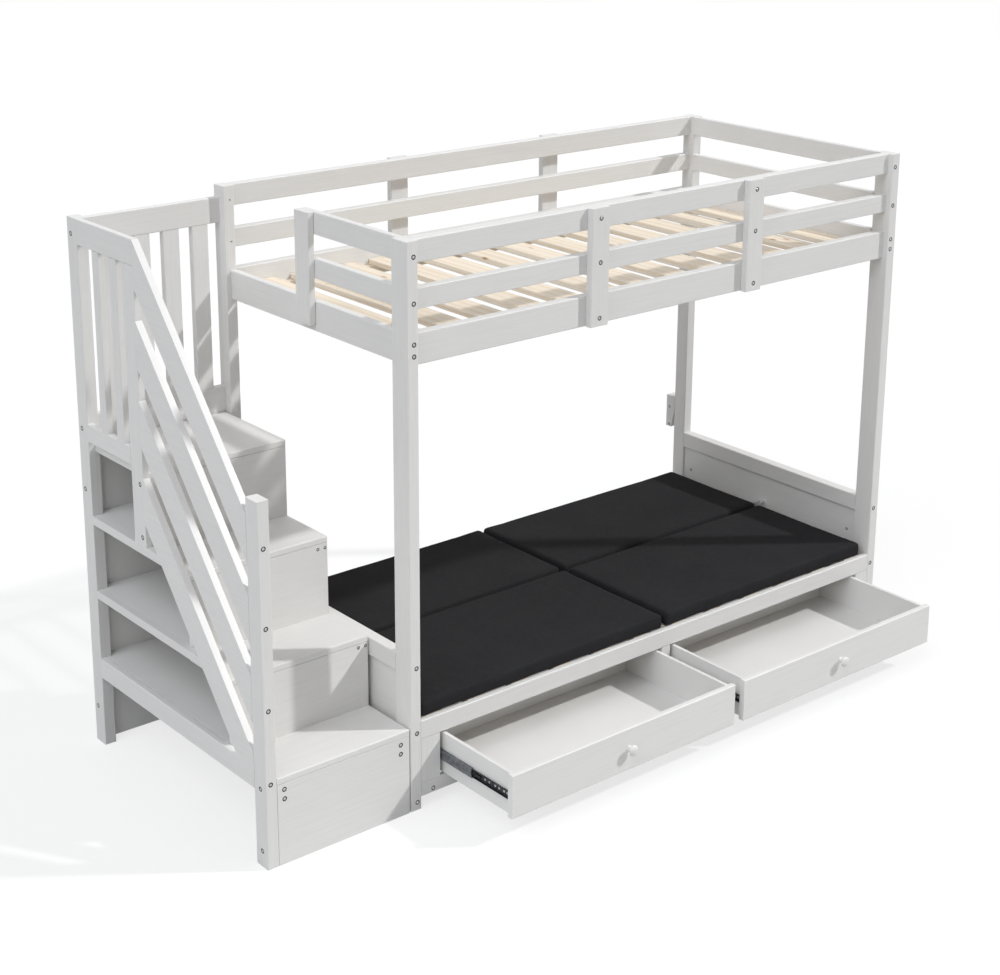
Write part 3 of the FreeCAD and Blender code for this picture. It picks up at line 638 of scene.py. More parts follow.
def welded_copy(node: str) -> bmesh.types.BMesh:
    """A CAD node's mesh with each solid's triangles welded and its flat faces joined.

    Args:
        node: The CAD node.

    Returns:
        A new bmesh; the CAD node keeps its own mesh.
    """
    shape = bmesh.new()
    for solid in solids_of(node):
        known: dict[tuple[int, int, int], bmesh.types.BMVert] = {}
        for triangle in solid:
            corners = []
            for point in triangle:
                key = weld_key(point)
                if key not in known:
                    known[key] = shape.verts.new(point)
                corners.append(known[key])
            if len(set(corners)) == 3:
                shape.faces.new(corners)
    bmesh.ops.dissolve_limit(shape, angle_limit=math.radians(0.5), verts=shape.verts, edges=shape.edges)
    return shape


def board_boxes(node: str) -> list[tuple[Vector, Vector]]:
    """The lowest and highest corner of each separate board in a CAD node, in order along X, Y and Z."""
    boxes = []
    for solid in solids_of(node):
        points = [point for triangle in solid for point in triangle]
        low = Vector([min(point[axis] for point in points) for axis in range(3)])
        high = Vector([max(point[axis] for point in points) for axis in range(3)])
        boxes.append((low, high))
    return sorted(boxes, key=lambda box: tuple(round(value, 4) for value in box[0]))


@dataclass
class BoardWork:
    """Softens a CAD board's arrises as sanding and lacquer leave them."""

    arris: float = 0.9
    steps: int = 2
    least_edge: float = 16.0
    least_angle: float = 20.0

    def softened(self, node: str) -> bpy.types.Mesh:
        """Copy a CAD node's boards and round their long edges.

        Args:
            node: The CAD node.

        Returns:
            The new mesh, with its flat faces kept flat in the shading.
        """
        shape = welded_copy(node)
        long_edges = []
        for edge in shape.edges:
            if len(edge.link_faces) != 2:
                continue
            angle = edge.calc_face_angle(0.0)
            if angle > math.radians(self.least_angle) and edge.calc_length() > mm(self.least_edge):
                long_edges.append(edge)
        bmesh.ops.bevel(shape, geom=long_edges, offset=mm(self.arris), segments=self.steps, profile=0.5,
                        affect="EDGES", clamp_overlap=True)
        return smooth(mesh_from(node + "_soft", shape), 30.0)


@dataclass(frozen=True)
class Ring:
    """One ring of a turned shape: its radius and height in millimetres, and how many lobes it has."""

    radius: float
    height: float
    lobes: int = 0


def ring_reach(ring: Ring, turn: float) -> float:
    """How far a ring reaches at a turn: six lobes make a hexagon, four make a cross."""
    if ring.lobes == 6:
        off = (turn + math.pi / 6) % (math.pi / 3) - math.pi / 6
        return ring.radius * math.cos(math.pi / 6) / math.cos(off)
    if ring.lobes == 4:
        return ring.radius * (0.38 + 0.62 * abs(math.cos(2 * turn)) ** 3)
    return ring.radius


def turned_mesh(name: str, rings: Sequence[Ring], sides: int = 24) -> bpy.types.Mesh:
    """Make a closed turned shape about Z from rings, listed from the bottom up.

    Args:
        name: The mesh's name.
        rings: The rings; the first and last are closed over.
        sides: How many sides each ring has.

    Returns:
        The mesh, standing on the origin.
    """
    shape = bmesh.new()
    rows = []
    for ring in rings:
        row = []
        for side in range(sides):
            turn = 2 * math.pi * side / sides
            reach = mm(ring_reach(ring, turn))
            row.append(shape.verts.new((reach * math.cos(turn), reach * math.sin(turn), mm(ring.height))))
        rows.append(row)
    for low, high in zip(rows, rows[1:]):
        for side in range(sides):
            after = (side + 1) % sides
            shape.faces.new((low[side], low[after], high[after], high[side]))
    shape.faces.new(list(reversed(rows[0])))
    shape.faces.new(rows[-1])
    bmesh.ops.recalc_face_normals(shape, faces=shape.faces)
    return smooth(mesh_from(name, shape), 32.0)


@dataclass(frozen=True)
class Place:
    """Where a repeated shape sits, the way its Z faces and the way its X points."""

    point: Vector
    facing: Vector
    heading: Vector = Vector((0.0, 0.0, 1.0))


class Repeater:
    """A Geometry Nodes tree that sets one shape on many places."""

    float_max = 3

    def __init__(self) -> None:
        """Build the tree with its named inputs."""
        tree = bpy.data.node_groups.new("repeat_on_places", "GeometryNodeTree")
        face = tree.interface
        face.new_socket("Geometry", in_out="INPUT", socket_type="NodeSocketGeometry")
        face.new_socket("Geometry", in_out="OUTPUT", socket_type="NodeSocketGeometry")
        self.ids = {}
        for label, kind in (("Shape", "Object"), ("Size", "Float"), ("Turn", "Float"), ("Seed", "Int"),
                            ("Finish", "Material")):
            socket = face.new_socket(label, in_out="INPUT", socket_type="NodeSocket" + kind)
            self.ids[label] = socket.identifier
        given = add_node(tree, "NodeGroupInput").outputs
        facing = add_node(tree, "GeometryNodeInputNamedAttribute", {"Name": "facing"},
                          data_type="FLOAT_VECTOR").outputs["Attribute"]
        heading = add_node(tree, "GeometryNodeInputNamedAttribute", {"Name": "heading"},
                           data_type="FLOAT_VECTOR").outputs["Attribute"]
        stood = add_node(tree, "FunctionNodeAlignRotationToVector", {"Vector": facing}, axis="Z")
        turned = add_node(tree, "FunctionNodeAlignRotationToVector",
                          {"Rotation": stood.outputs[0], "Vector": heading}, axis="X", pivot_axis="Z")
        shape = add_node(tree, "GeometryNodeObjectInfo", {"Object": given["Shape"]})
        placed = add_node(tree, "GeometryNodeInstanceOnPoints",
                          {"Points": given["Geometry"], "Instance": shape.outputs["Geometry"],
                           "Rotation": turned.outputs[0], "Scale": given["Size"]})
        chance = add_node(tree, "FunctionNodeRandomValue", {"Seed": given["Seed"]}, data_type="FLOAT")
        tree.links.new(given["Turn"], chance.inputs[self.float_max])
        spin = add_node(tree, "ShaderNodeCombineXYZ", {"Z": chance.outputs[1]})
        spun = add_node(tree, "GeometryNodeRotateInstances",
                        {"Instances": placed.outputs[0], "Rotation": spin.outputs[0]})
        real = add_node(tree, "GeometryNodeRealizeInstances", {"Geometry": spun.outputs[0]})
        dressed = add_node(tree, "GeometryNodeSetMaterial",
                           {"Geometry": real.outputs[0], "Material": given["Finish"]})
        add_node(tree, "NodeGroupOutput", {"Geometry": dressed.outputs[0]})
        self.tree = tree

    def set_out(self, name: str, shape: bpy.types.Mesh, places: Sequence[Place], body: str,
                material: bpy.types.Material, slot: Slot, turn: float = 0.0, seed: int = 7,
                size: float = 1.0, replaces: Iterable[str] = ()) -> bpy.types.Object:
        """Repeat a shape on places and keep the result as one piece.

        Args:
            name: The piece's name.
            shape: The shape, about its own origin.
            places: Where it goes.
            body: The CAD body that it rides on.
            material: Its finish.
            slot: The record's slot that the finish stands for; it is not used.
            turn: The most that each copy is turned about its own axis, in radians.
            seed: The seed of those turns.
            size: How large each copy is beside the shape.
            replaces: The CAD nodes that the piece stands for.

        Returns:
            The piece.
        """
        points = bpy.data.meshes.new(name + "_places")
        points.from_pydata([tuple(place.point) for place in places], [], [])
        for label in ("facing", "heading"):
            values = np.array([tuple(getattr(place, label)) for place in places], np.float32)
            points.attributes.new(label, "FLOAT_VECTOR", "POINT").data.foreach_set("vector", values.ravel())
        holder = loose_object(name + "_holder", points)
        template = loose_object(name + "_shape", shape)
        modifier = holder.modifiers.new("repeat", "NODES")
        modifier.node_group = self.tree
        for label, value in (("Shape", template), ("Size", size), ("Turn", turn), ("Seed", seed),
                             ("Finish", material)):
            modifier[self.ids[label]] = value
        mesh = evaluated_mesh(holder)
        bpy.data.objects.remove(holder)
        bpy.data.objects.remove(template)
        for label in ("facing", "heading"):
            if label in mesh.attributes:
                mesh.attributes.remove(mesh.attributes[label])
        return add_piece(name, mesh, body, material, replaces)


# ------------------------------------------------------------------------------------------ fasteners
@dataclass
class Hardware:
    """The bolts and screws that hold the boards together."""

    finishes: Finishes
    repeater: Repeater
    # The black ring round each bolt head is painted shade: it stands in for the shadow in the counterbore.
    painted_shade_ring_radius: float = 7.5
    painted_shade_ring_inner: float = 4.1
    head_radius: float = 4.0
    socket_radius: float = 1.9
    proud: float = 0.35
    screw_radius: float = 3.6

    def painted_shade_ring(self) -> bpy.types.Mesh:
        """A black ring round the bolt's head: painted shade that stands in for the shadow in its
        counterbore.
        """
        rings = (Ring(self.painted_shade_ring_radius, -1.5), Ring(self.painted_shade_ring_radius, 0.1),
                 Ring(self.painted_shade_ring_radius - 0.35, self.proud), Ring(self.painted_shade_ring_inner + 0.7, self.proud),
                 Ring(self.painted_shade_ring_inner, -0.1), Ring(self.painted_shade_ring_inner, -1.2))
        return turned_mesh("bolt_painted_shade_ring", rings)

    def head(self) -> bpy.types.Mesh:
        """The bolt's domed head with its hexagon socket."""
        rings = (Ring(self.head_radius, -1.3), Ring(self.head_radius, 0.1),
                 Ring(self.head_radius * 0.88, 0.5), Ring(self.head_radius * 0.66, 0.7),
                 Ring(self.socket_radius * 1.1, 0.7, 6), Ring(self.socket_radius, 0.4, 6),
                 Ring(self.socket_radius, -1.0, 6))
        return turned_mesh("bolt_head", rings)

    def screw(self) -> bpy.types.Mesh:
        """A countersunk wood screw's head with its cross recess."""
        radius = self.screw_radius
        rings = (Ring(radius * 0.6, -1.4), Ring(radius, -0.05), Ring(radius, 0.12),
                 Ring(radius * 0.8, 0.3), Ring(radius * 0.62, 0.34, 4), Ring(radius * 0.3, -0.8, 4))
        return turned_mesh("screw_head", rings)

    def bolt_places(self) -> list[Place]:
        """Find each connector bolt's head in the CAD node, and the way it faces.

        Returns:
            One place on the outer face of each head.
        """
        places = []
        for solid in solids_of("frame_bolts"):
            places.append(self.head_of([point for triangle in solid for point in triangle]))
        return sorted(places, key=lambda place: tuple(place.point))

    @staticmethod
    def head_of(points: Sequence[Vector]) -> Place:
        """The head's outer face of one bolt, from all of the bolt's points."""
        cloud = np.array([tuple(point) for point in points])
        low = cloud.min(0)
        high = cloud.max(0)
        axis = int(np.argmax(high - low))
        across = [other for other in range(3) if other != axis]
        at_low = cloud[np.abs(cloud[:, axis] - low[axis]) < mm(0.1)]
        at_high = cloud[np.abs(cloud[:, axis] - high[axis]) < mm(0.1)]
        wide_low = np.ptp(at_low[:, across], axis=0).max() > np.ptp(at_high[:, across], axis=0).max()
        middle = (low + high) / 2
        middle[axis] = low[axis] if wide_low else high[axis]
        facing = np.zeros(3)
        facing[axis] = -1.0 if wide_low else 1.0
        return Place(Vector(middle), Vector(facing))

    def build(self) -> None:
        """Set out the connector bolts of the whole frame."""
        places = self.bolt_places()
        self.repeater.set_out("connector_bolt_heads", self.head(), places, "root", self.finishes.bright,
                              Slot.BOLT, turn=math.pi, seed=11, replaces=("frame_bolts",))
        # Black rings painted as shade round each head, in place of the shadow in the counterbore.
        self.repeater.set_out("connector_bolt_cups", self.painted_shade_ring(), places, "root", self.finishes.nylon,
                              Slot.BOLT, seed=3)

    def connectors(self, name: str, places: Sequence[Place], body: str, size: float = 0.7) -> None:
        """Set out one group of smaller connector screws, each with a black ring round it that is painted
        shade for its counterbore.
        """
        self.repeater.set_out(name + "_heads", self.head(), places, body, self.finishes.bright, Slot.BOLT,
                              turn=math.pi, seed=len(places), size=size)
        # Black rings painted as shade round each head, in place of the shadow in the counterbore.
        self.repeater.set_out(name + "_cups", self.painted_shade_ring(), places, body, self.finishes.nylon, Slot.BOLT,
                              seed=len(places), size=size)

    def screws(self, name: str, places: Sequence[Place], body: str) -> bpy.types.Object:
        """Set out one group of small wood screws."""
        return self.repeater.set_out(name, self.screw(), places, body, self.finishes.bright, Slot.BOLT,
                                     turn=math.pi, seed=len(places))


# ------------------------------------------------------------------------------------------ boards
@dataclass
class BoardGroup:
    """Boards of one sub-assembly, with the way each node's grain runs."""

    nodes: dict[str, Grain]
    finishes: Finishes
    slot: Slot = Slot.PAINT
    work: BoardWork = field(default_factory=BoardWork)

    def build(self) -> None:
        """Soften every node's boards and give them their finish."""
        for node, grain in self.nodes.items():
            mesh = self.work.softened(node)
            piece = add_piece(node + "_boards", mesh, body_of(node), self.finish_for(grain),
                              replaces=(node,))
            self.even_shading(piece)

    def finish_for(self, grain: Grain) -> bpy.types.Material:
        """The material for this group's slot and a grain direction."""
        if self.slot is Slot.PINE:
            return self.finishes.pine[grain]
        if self.slot is Slot.BOARD:
            return self.finishes.board
        return self.finishes.lacquer[grain]

    @staticmethod
    def even_shading(piece: bpy.types.Object) -> None:
        """Weight the corner normals by face size, so that large faces stay flat to the eye."""
        modifier = piece.modifiers.new("even_shading", "WEIGHTED_NORMAL")
        modifier.keep_sharp = True
        modifier.weight = 90
        material = piece.data.materials[0]
        mesh = evaluated_mesh(piece)
        piece.modifiers.clear()
        piece.data = mesh
        mesh.materials.clear()
        mesh.materials.append(material)


@dataclass
class BedFrame:
    """Four posts, the guard rails round the upper bunk, and the uprights that stiffen them."""

    finishes: Finishes

    def build(self) -> None:
        """Dress the frame's boards."""
        posts = ("front_left_post", "front_right_post", "rear_left_post", "rear_right_post")
        nodes = {name: Grain.ALONG_Z for name in posts + ("guard_uprights", "entry_upright")}
        for name in ("front_guard_rails", "rear_guard_rails", "front_deck_rail", "rear_deck_rail"):
            nodes[name] = Grain.ALONG_X
        for name in ("end_guard_rails", "end_deck_rails"):
            nodes[name] = Grain.ALONG_Y
        BoardGroup(nodes, self.finishes).build()


@dataclass
class UpperDeck:
    """The bare pine slats of the upper bunk on their two cleats, screwed down at each end."""

    finishes: Finishes
    hardware: Hardware
    screw_from_end: float = 14.0

    def build(self) -> None:
        """Dress the slats and set out their screws."""
        nodes = {"upper_slats": Grain.ALONG_Y, "slat_cleats": Grain.ALONG_X}
        BoardGroup(nodes, self.finishes, Slot.PINE).build()
        places = []
        for low, high in board_boxes("upper_slats"):
            middle = (low.x + high.x) / 2
            for y in (low.y + mm(self.screw_from_end), high.y - mm(self.screw_from_end)):
                places.append(Place(Vector((middle, y, high.z)), Vector((0, 0, 1)), Vector((1, 0, 0))))
        self.hardware.screws("upper_slat_screws", places, "root")


# ------------------------------------------------------------------------------------------ lower bed
@dataclass
class LowerBed:
    """The end panels, the face frame round the drawers, the seat's bearers and slats."""

    finishes: Finishes
    hardware: Hardware
    stop_screw_heights: tuple[float, float] = (573.0, 503.0)
    stop_screw_inset: float = 26.0
    panel_screw_height: float = 345.0
    panel_screw_inset: float = 37.0
    bottom_board_bolt: tuple[float, float] = (81.6, 51.9)
    bottom_board_bolt_size: float = 0.95

    def build(self) -> None:
        """Dress the lower bed's boards and set out its small screws."""
        nodes = {"end_panels": Grain.ALONG_Y, "end_panel_rails": Grain.ALONG_Y,
                 "front_frame_rail": Grain.ALONG_X, "front_bottom_board": Grain.ALONG_X,
                 "front_frame_stiles": Grain.ALONG_Z, "drawer_runner_boards": Grain.ALONG_Y,
                 "rear_lower_rail": Grain.ALONG_X, "rear_stop_blocks": Grain.ALONG_Z}
        BoardGroup(nodes, self.finishes).build()
        bare = {"seat_bearers": Grain.ALONG_X, "seat_slats": Grain.ALONG_Y}
        BoardGroup(bare, self.finishes, Slot.PINE).build()
        self.hardware.connectors("lower_bed_connectors", self.connector_places(), "root")
        x, z = self.bottom_board_bolt
        self.hardware.connectors("bottom_board_bolt", [Place(at(x, 0.0, z), Vector((0, -1, 0)))], "root",
                                 size=self.bottom_board_bolt_size)

    def connector_places(self) -> list[Place]:
        """The small connectors that show on the stop blocks and inside the end panels."""
        places = []
        for low, high in board_boxes("rear_stop_blocks"):
            for height in self.stop_screw_heights:
                for x, facing in ((low.x, -1.0), (high.x, 1.0)):
                    point = Vector((x, low.y + mm(self.stop_screw_inset), mm(height)))
                    places.append(Place(point, Vector((facing, 0, 0))))
        for (low, high), facing in zip(board_boxes("end_panels"), (1.0, -1.0)):
            x = high.x if facing > 0 else low.x
            for y in (low.y + mm(self.panel_screw_inset), high.y - mm(self.panel_screw_inset)):
                places.append(Place(Vector((x, y, mm(self.panel_screw_height))), Vector((facing, 0, 0))))
        return places


# ------------------------------------------------------------------------------------------ futon
@dataclass
class Cushion:
    """One foam pad in a sewn cover, swollen by cloth simulation from a slightly smaller shape."""

    node: str
    finishes: Finishes
    repeater: Repeater
    voxel: float = 7.0
    quick_voxel: float = 12.0
    start_inset: float = 1.5
    corner_round: float = 11.0
    top_round: float = 8.0
    bottom_round: float = 1.0
    pressure: float = 4.0
    frames: int = 20
    most_swell: float = 6.0
    seam_below_top: float = 9.0
    seam_depth: float = 1.6
    seam_width: float = 3.2
    ripple: float = 0.7
    stitch_step: float = 9.0
    stitch_share: float = 0.62
    stitch_below_seam: float = 3.5
    stitch_end: float = 30.0
    ray_start: float = 20.0
    ray_reach: float = 60.0

    def build(self) -> None:
        """Make the pad, its seams and its stitches."""
        mesh = self.start_shape()
        start = np.empty(len(mesh.vertices) * 3)
        mesh.vertices.foreach_get("co", start)
        start = start.reshape(-1, 3)
        swollen = self.swell(mesh)
        mesh.vertices.foreach_set("co", self.capped(start, swollen).ravel())
        mesh.update()
        pad = loose_object(self.node + "_pad", mesh)
        finer = pad.modifiers.new("finer", "SUBSURF")
        finer.levels = 1
        finer.render_levels = 1
        fine = evaluated_mesh(pad)
        bpy.data.objects.remove(pad)
        self.sew(fine)
        smooth(fine, 75.0)
        piece = add_piece(self.node + "_cover", fine, body_of(self.node), self.finishes.cloth,
                          replaces=(self.node,))
        self.stitch(fine)

    def start_shape(self) -> bpy.types.Mesh:
        """A boxy slab a little smaller than the CAD cushion, its corners rounded, remeshed evenly."""
        low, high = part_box(self.node)
        inset = Vector((1.0, 1.0, 1.0)) * mm(self.start_inset)
        shape = bmesh.new()
        bmesh.ops.create_cube(shape, size=1.0)
        middle = (low + high) / 2
        size = high - low - 2 * inset
        for vert in shape.verts:
            vert.co = Vector([middle[axis] + vert.co[axis] * size[axis] for axis in range(3)])
        upright = [edge for edge in shape.edges if abs(edge.verts[0].co.z - edge.verts[1].co.z) > mm(1.0)]
        bmesh.ops.bevel(shape, geom=upright, offset=mm(self.corner_round), segments=5, profile=0.5,
                        affect="EDGES")
        for level, reach in ((high.z - inset.z, self.top_round), (low.z + inset.z, self.bottom_round)):
            rim = [edge for edge in shape.edges
                   if all(abs(vert.co.z - level) < mm(0.1) for vert in edge.verts)]
            bmesh.ops.bevel(shape, geom=rim, offset=mm(reach), segments=3, profile=0.5, affect="EDGES")
        bmesh.ops.triangulate(shape, faces=shape.faces)
        holder = loose_object(self.node + "_start", mesh_from(self.node + "_start", shape))
        remesh = holder.modifiers.new("even", "REMESH")
        remesh.mode = "VOXEL"
        remesh.voxel_size = mm(self.voxel)
        mesh = evaluated_mesh(holder)
        bpy.data.objects.remove(holder)
        return mesh

    def swell(self, mesh: bpy.types.Mesh) -> np.ndarray:
        """Let the cover swell under pressure.

        Args:
            mesh: The even start shape.

        Returns:
            The points after the simulation.
        """
        scene = bpy.context.scene
        holder = loose_object(self.node + "_cloth", mesh.copy())
        cloth = holder.modifiers.new("cover", "CLOTH")
        cloth.settings.quality = 4
        cloth.settings.mass = 0.3
        cloth.settings.use_pressure = True
        cloth.settings.uniform_pressure_force = self.pressure
        cloth.settings.effector_weights.gravity = 0.0
        cloth.point_cache.frame_start = 1
        cloth.point_cache.frame_end = self.frames
        for number in range(1, self.frames + 1):
            scene.frame_set(number)
        graph = bpy.context.evaluated_depsgraph_get()
        moved = holder.evaluated_get(graph).data
        points = np.empty(len(moved.vertices) * 3)
        moved.vertices.foreach_get("co", points)
        bpy.data.objects.remove(holder)
        scene.frame_set(1)
        return points.reshape(-1, 3)

    def capped(self, start: np.ndarray, swollen: np.ndarray) -> np.ndarray:
        """Hold each point's motion to the most that foam allows, and keep the underside on its slats.

        Args:
            start: The points before the simulation.
            swollen: The points after it.

        Returns:
            The points of the pad.
        """
        motion = swollen - start
        length = np.linalg.norm(motion, axis=1, keepdims=True)
        most = mm(self.most_swell)
        held = most * np.tanh(length / most)
        points = start + motion * (held / np.maximum(length, 1e-9))
        low, high = (np.array(corner_point) for corner_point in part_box(self.node))
        return np.clip(points, low, high)

    def sew(self, mesh: bpy.types.Mesh) -> None:
        """Draw the cover in along its two seams and let it ripple a little between them."""
        count = len(mesh.vertices)
        points = np.empty(count * 3)
        normals = np.empty(count * 3)
        mesh.vertices.foreach_get("co", points)
        mesh.vertices.foreach_get("normal", normals)
        points = points.reshape(-1, 3)
        normals = normals.reshape(-1, 3)
        low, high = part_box(self.node)
        side = np.clip(1.0 - np.abs(normals[:, 2]) * 1.4, 0.0, 1.0)
        pull = np.zeros(count)
        for height in (high.z - mm(self.seam_below_top), low.z + mm(self.seam_below_top)):
            pull += np.exp(-(((points[:, 2] - height) / mm(self.seam_width)) ** 2))
        ripples = np.array([noise.noise(Vector((x * 9.0, y * 9.0, z * 14.0))) for x, y, z in points])
        crease = np.array([noise.noise(Vector((x * 40.0, y * 40.0, z * 6.0))) for x, y, z in points])
        depth = -mm(self.seam_depth) * side * pull
        depth += mm(self.ripple) * ripples + mm(self.ripple) * 0.5 * side * crease
        points += normals * depth[:, None]
        points[:, 2] = np.maximum(points[:, 2], low.z)
        mesh.vertices.foreach_set("co", points.ravel())
        mesh.update()

    def stitch(self, mesh: bpy.types.Mesh) -> None:
        """Run a line of stitches round the pad just under its top seam."""
        tree = BVHTree.FromPolygons([vert.co for vert in mesh.vertices],
                                    [tuple(face.vertices) for face in mesh.polygons])
        low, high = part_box(self.node)
        height = high.z - mm(self.seam_below_top + self.stitch_below_seam)
        places = []
        for walk in range(2):
            across = 1 - walk
            room = high[walk] - low[walk] - mm(2 * self.stitch_end)
            count = int(room / mm(self.stitch_step))
            for number in range(count + 1):
                along = low[walk] + mm(self.stitch_end) + room * number / count
                for sign in (-1.0, 1.0):
                    start = Vector((0.0, 0.0, height))
                    start[walk] = along
                    start[across] = (high if sign > 0 else low)[across] + sign * mm(self.ray_start)
                    ray = Vector((0.0, 0.0, 0.0))
                    ray[across] = -sign
                    point, normal, _, _ = tree.ray_cast(start, ray, mm(self.ray_reach))
                    if point is None:
                        continue
                    heading = Vector((0.0, 0.0, 0.0))
                    heading[walk] = 1.0
                    places.append(Place(point, normal, heading))
        bead = stitch_shape(self.stitch_step * self.stitch_share)
        self.repeater.set_out(self.node + "_stitches", bead, places, body_of(self.node),
                              self.finishes.thread, Slot.CLOTH)


def stitch_shape(length: float) -> bpy.types.Mesh:
    """One stitch: a short, round-ended bead of thread lying along X."""
    shape = bmesh.new()
    half = mm(length) / 2
    bmesh.ops.create_uvsphere(shape, u_segments=8, v_segments=6, radius=1.0)
    for vert in shape.verts:
        vert.co = Vector((vert.co.z * half, vert.co.x * mm(0.55), vert.co.y * mm(0.4)))
    bmesh.ops.recalc_face_normals(shape, faces=shape.faces)
    return smooth(mesh_from("stitch", shape), 60.0)


@dataclass
class Futon:
    """Four pads: two on the fixed seat, and two on the backrest, which folds up on its pins."""

    finishes: Finishes
    repeater: Repeater
    pads: tuple[str, ...] = ("seat_cushion_left", "seat_cushion_right", "backrest_cushion_left",
                             "backrest_cushion_right")

    def build(self) -> None:
        """Make the pads and dress the backrest's frame and hinges."""
        for node in self.pads:
            Cushion(node, self.finishes, self.repeater).build()
        bare = {"backrest_slats": Grain.ALONG_Y, "backrest_rails": Grain.ALONG_X}
        BoardGroup(bare, self.finishes, Slot.PINE).build()
        self.plates()

    def plates(self) -> None:
        """The hinge plates and pins, with their stamped edges softened."""
        work = BoardWork(arris=0.4, steps=2, least_edge=1.0)
        for node in ("backrest_plates", "backrest_pivot_pins"):
            mesh = work.softened(node)
            piece = add_piece(node + "_steel", mesh, body_of(node), self.finishes.plate,
                              replaces=(node,))
            BoardGroup.even_shading(piece)


# ------------------------------------------------------------------------------------------ drawers
def channel_outline(depth: float, height: float, thick: float, bend: float, groove: float = 0.0,
                    steps: int = 4) -> list[tuple[float, float]]:
    """The closed outline of a rolled channel, its web on the left and its lips to the right.

    Args:
        depth: How far the lips reach from the web's outer face.
        height: The channel's outer height.
        thick: The steel's thickness.
        bend: The outer radius of its two bends.
        groove: How deep the band rolled into the middle of its web is.
        steps: How many steps each bend has.

    Returns:
        Points (reach, height) about the channel's middle height, in millimetres.
    """
    outer = []
    inner = []
    half = height / 2
    for step in range(steps + 1):
        turn = math.pi / 2 * step / steps
        outer.append((bend - bend * math.sin(turn), half - bend + bend * math.cos(turn)))
        small = max(bend - thick, 0.15)
        inner.append((thick + small - small * math.sin(turn), half - thick - small + small * math.cos(turn)))
    top_outer = [(depth, half)] + outer
    top_inner = [(depth, half - thick)] + inner
    if groove:
        top_outer += [(0.0, half * 0.56), (groove, half * 0.46)]
        top_inner += [(thick, half * 0.56), (thick + groove, half * 0.46)]
    low_outer = [(x, -z) for x, z in reversed(top_outer)]
    low_inner = [(x, -z) for x, z in reversed(top_inner)]
    return top_outer + low_outer + list(reversed(low_inner)) + list(reversed(top_inner))


def extruded(shape: bmesh.types.BMesh, outline: Sequence[tuple[float, float]], web_x: float, side: float,
             middle_z: float, y: tuple[float, float]) -> None:
    """Add an outline pushed along Y to a shape.

    Args:
        shape: The bmesh that gets it.
        outline: Points (reach, height) in millimetres.
        web_x: Where the reach starts, in metres.
        side: 1 where the reach runs towards +X, or -1.
        middle_z: The outline's middle height, in metres.
        y: The two ends, in metres.
    """
    rows = []
    for end in y:
        rows.append([shape.verts.new((web_x + side * mm(u), end, middle_z + mm(v))) for u, v in outline])
    count = len(outline)
    for number in range(count):
        after = (number + 1) % count
        shape.faces.new((rows[0][number], rows[0][after], rows[1][after], rows[1][number]))
    shape.faces.new(rows[0])
    shape.faces.new(rows[1])


def roll_channel(shape: bmesh.types.BMesh, low: Vector, high: Vector, side: float, steel: float,
                 bend: float, groove: float = 0.0) -> float:
    """Roll one channel along Y so that it fills a box.

    Args:
        shape: The bmesh that gets it.
        low: The box's lowest corner.
        high: The box's highest corner.
        side: 1 where its lips point to +X, or -1.
        steel: The steel's thickness in millimetres.
        bend: The outer radius of its bends in millimetres.
        groove: How deep the band in its web is, in millimetres.

    Returns:
        Where its web's outer face is along X, in metres.
    """
    web_x = low.x if side > 0 else high.x
    outline = channel_outline((high.x - low.x) * 1000, (high.z - low.z) * 1000, steel, bend, groove)
    extruded(shape, outline, web_x, side, (low.z + high.z) / 2, (low.y, high.y))
    return web_x


def rounded_bar(shape: bmesh.types.BMesh, low: Vector, high: Vector, arris: float = 0.5) -> None:
    """Add a bar with rounded edges between two corners, its arris in millimetres."""
    made = bmesh.ops.create_cube(shape, size=1.0)["verts"]
    middle = (low + high) / 2
    size = high - low
    for vert in made:
        vert.co = Vector([middle[axis] + vert.co[axis] * size[axis] for axis in range(3)])
    edges = list({edge for vert in made for edge in vert.link_edges})
    bmesh.ops.bevel(shape, geom=edges, offset=mm(arris), segments=2, profile=0.5, affect="EDGES")


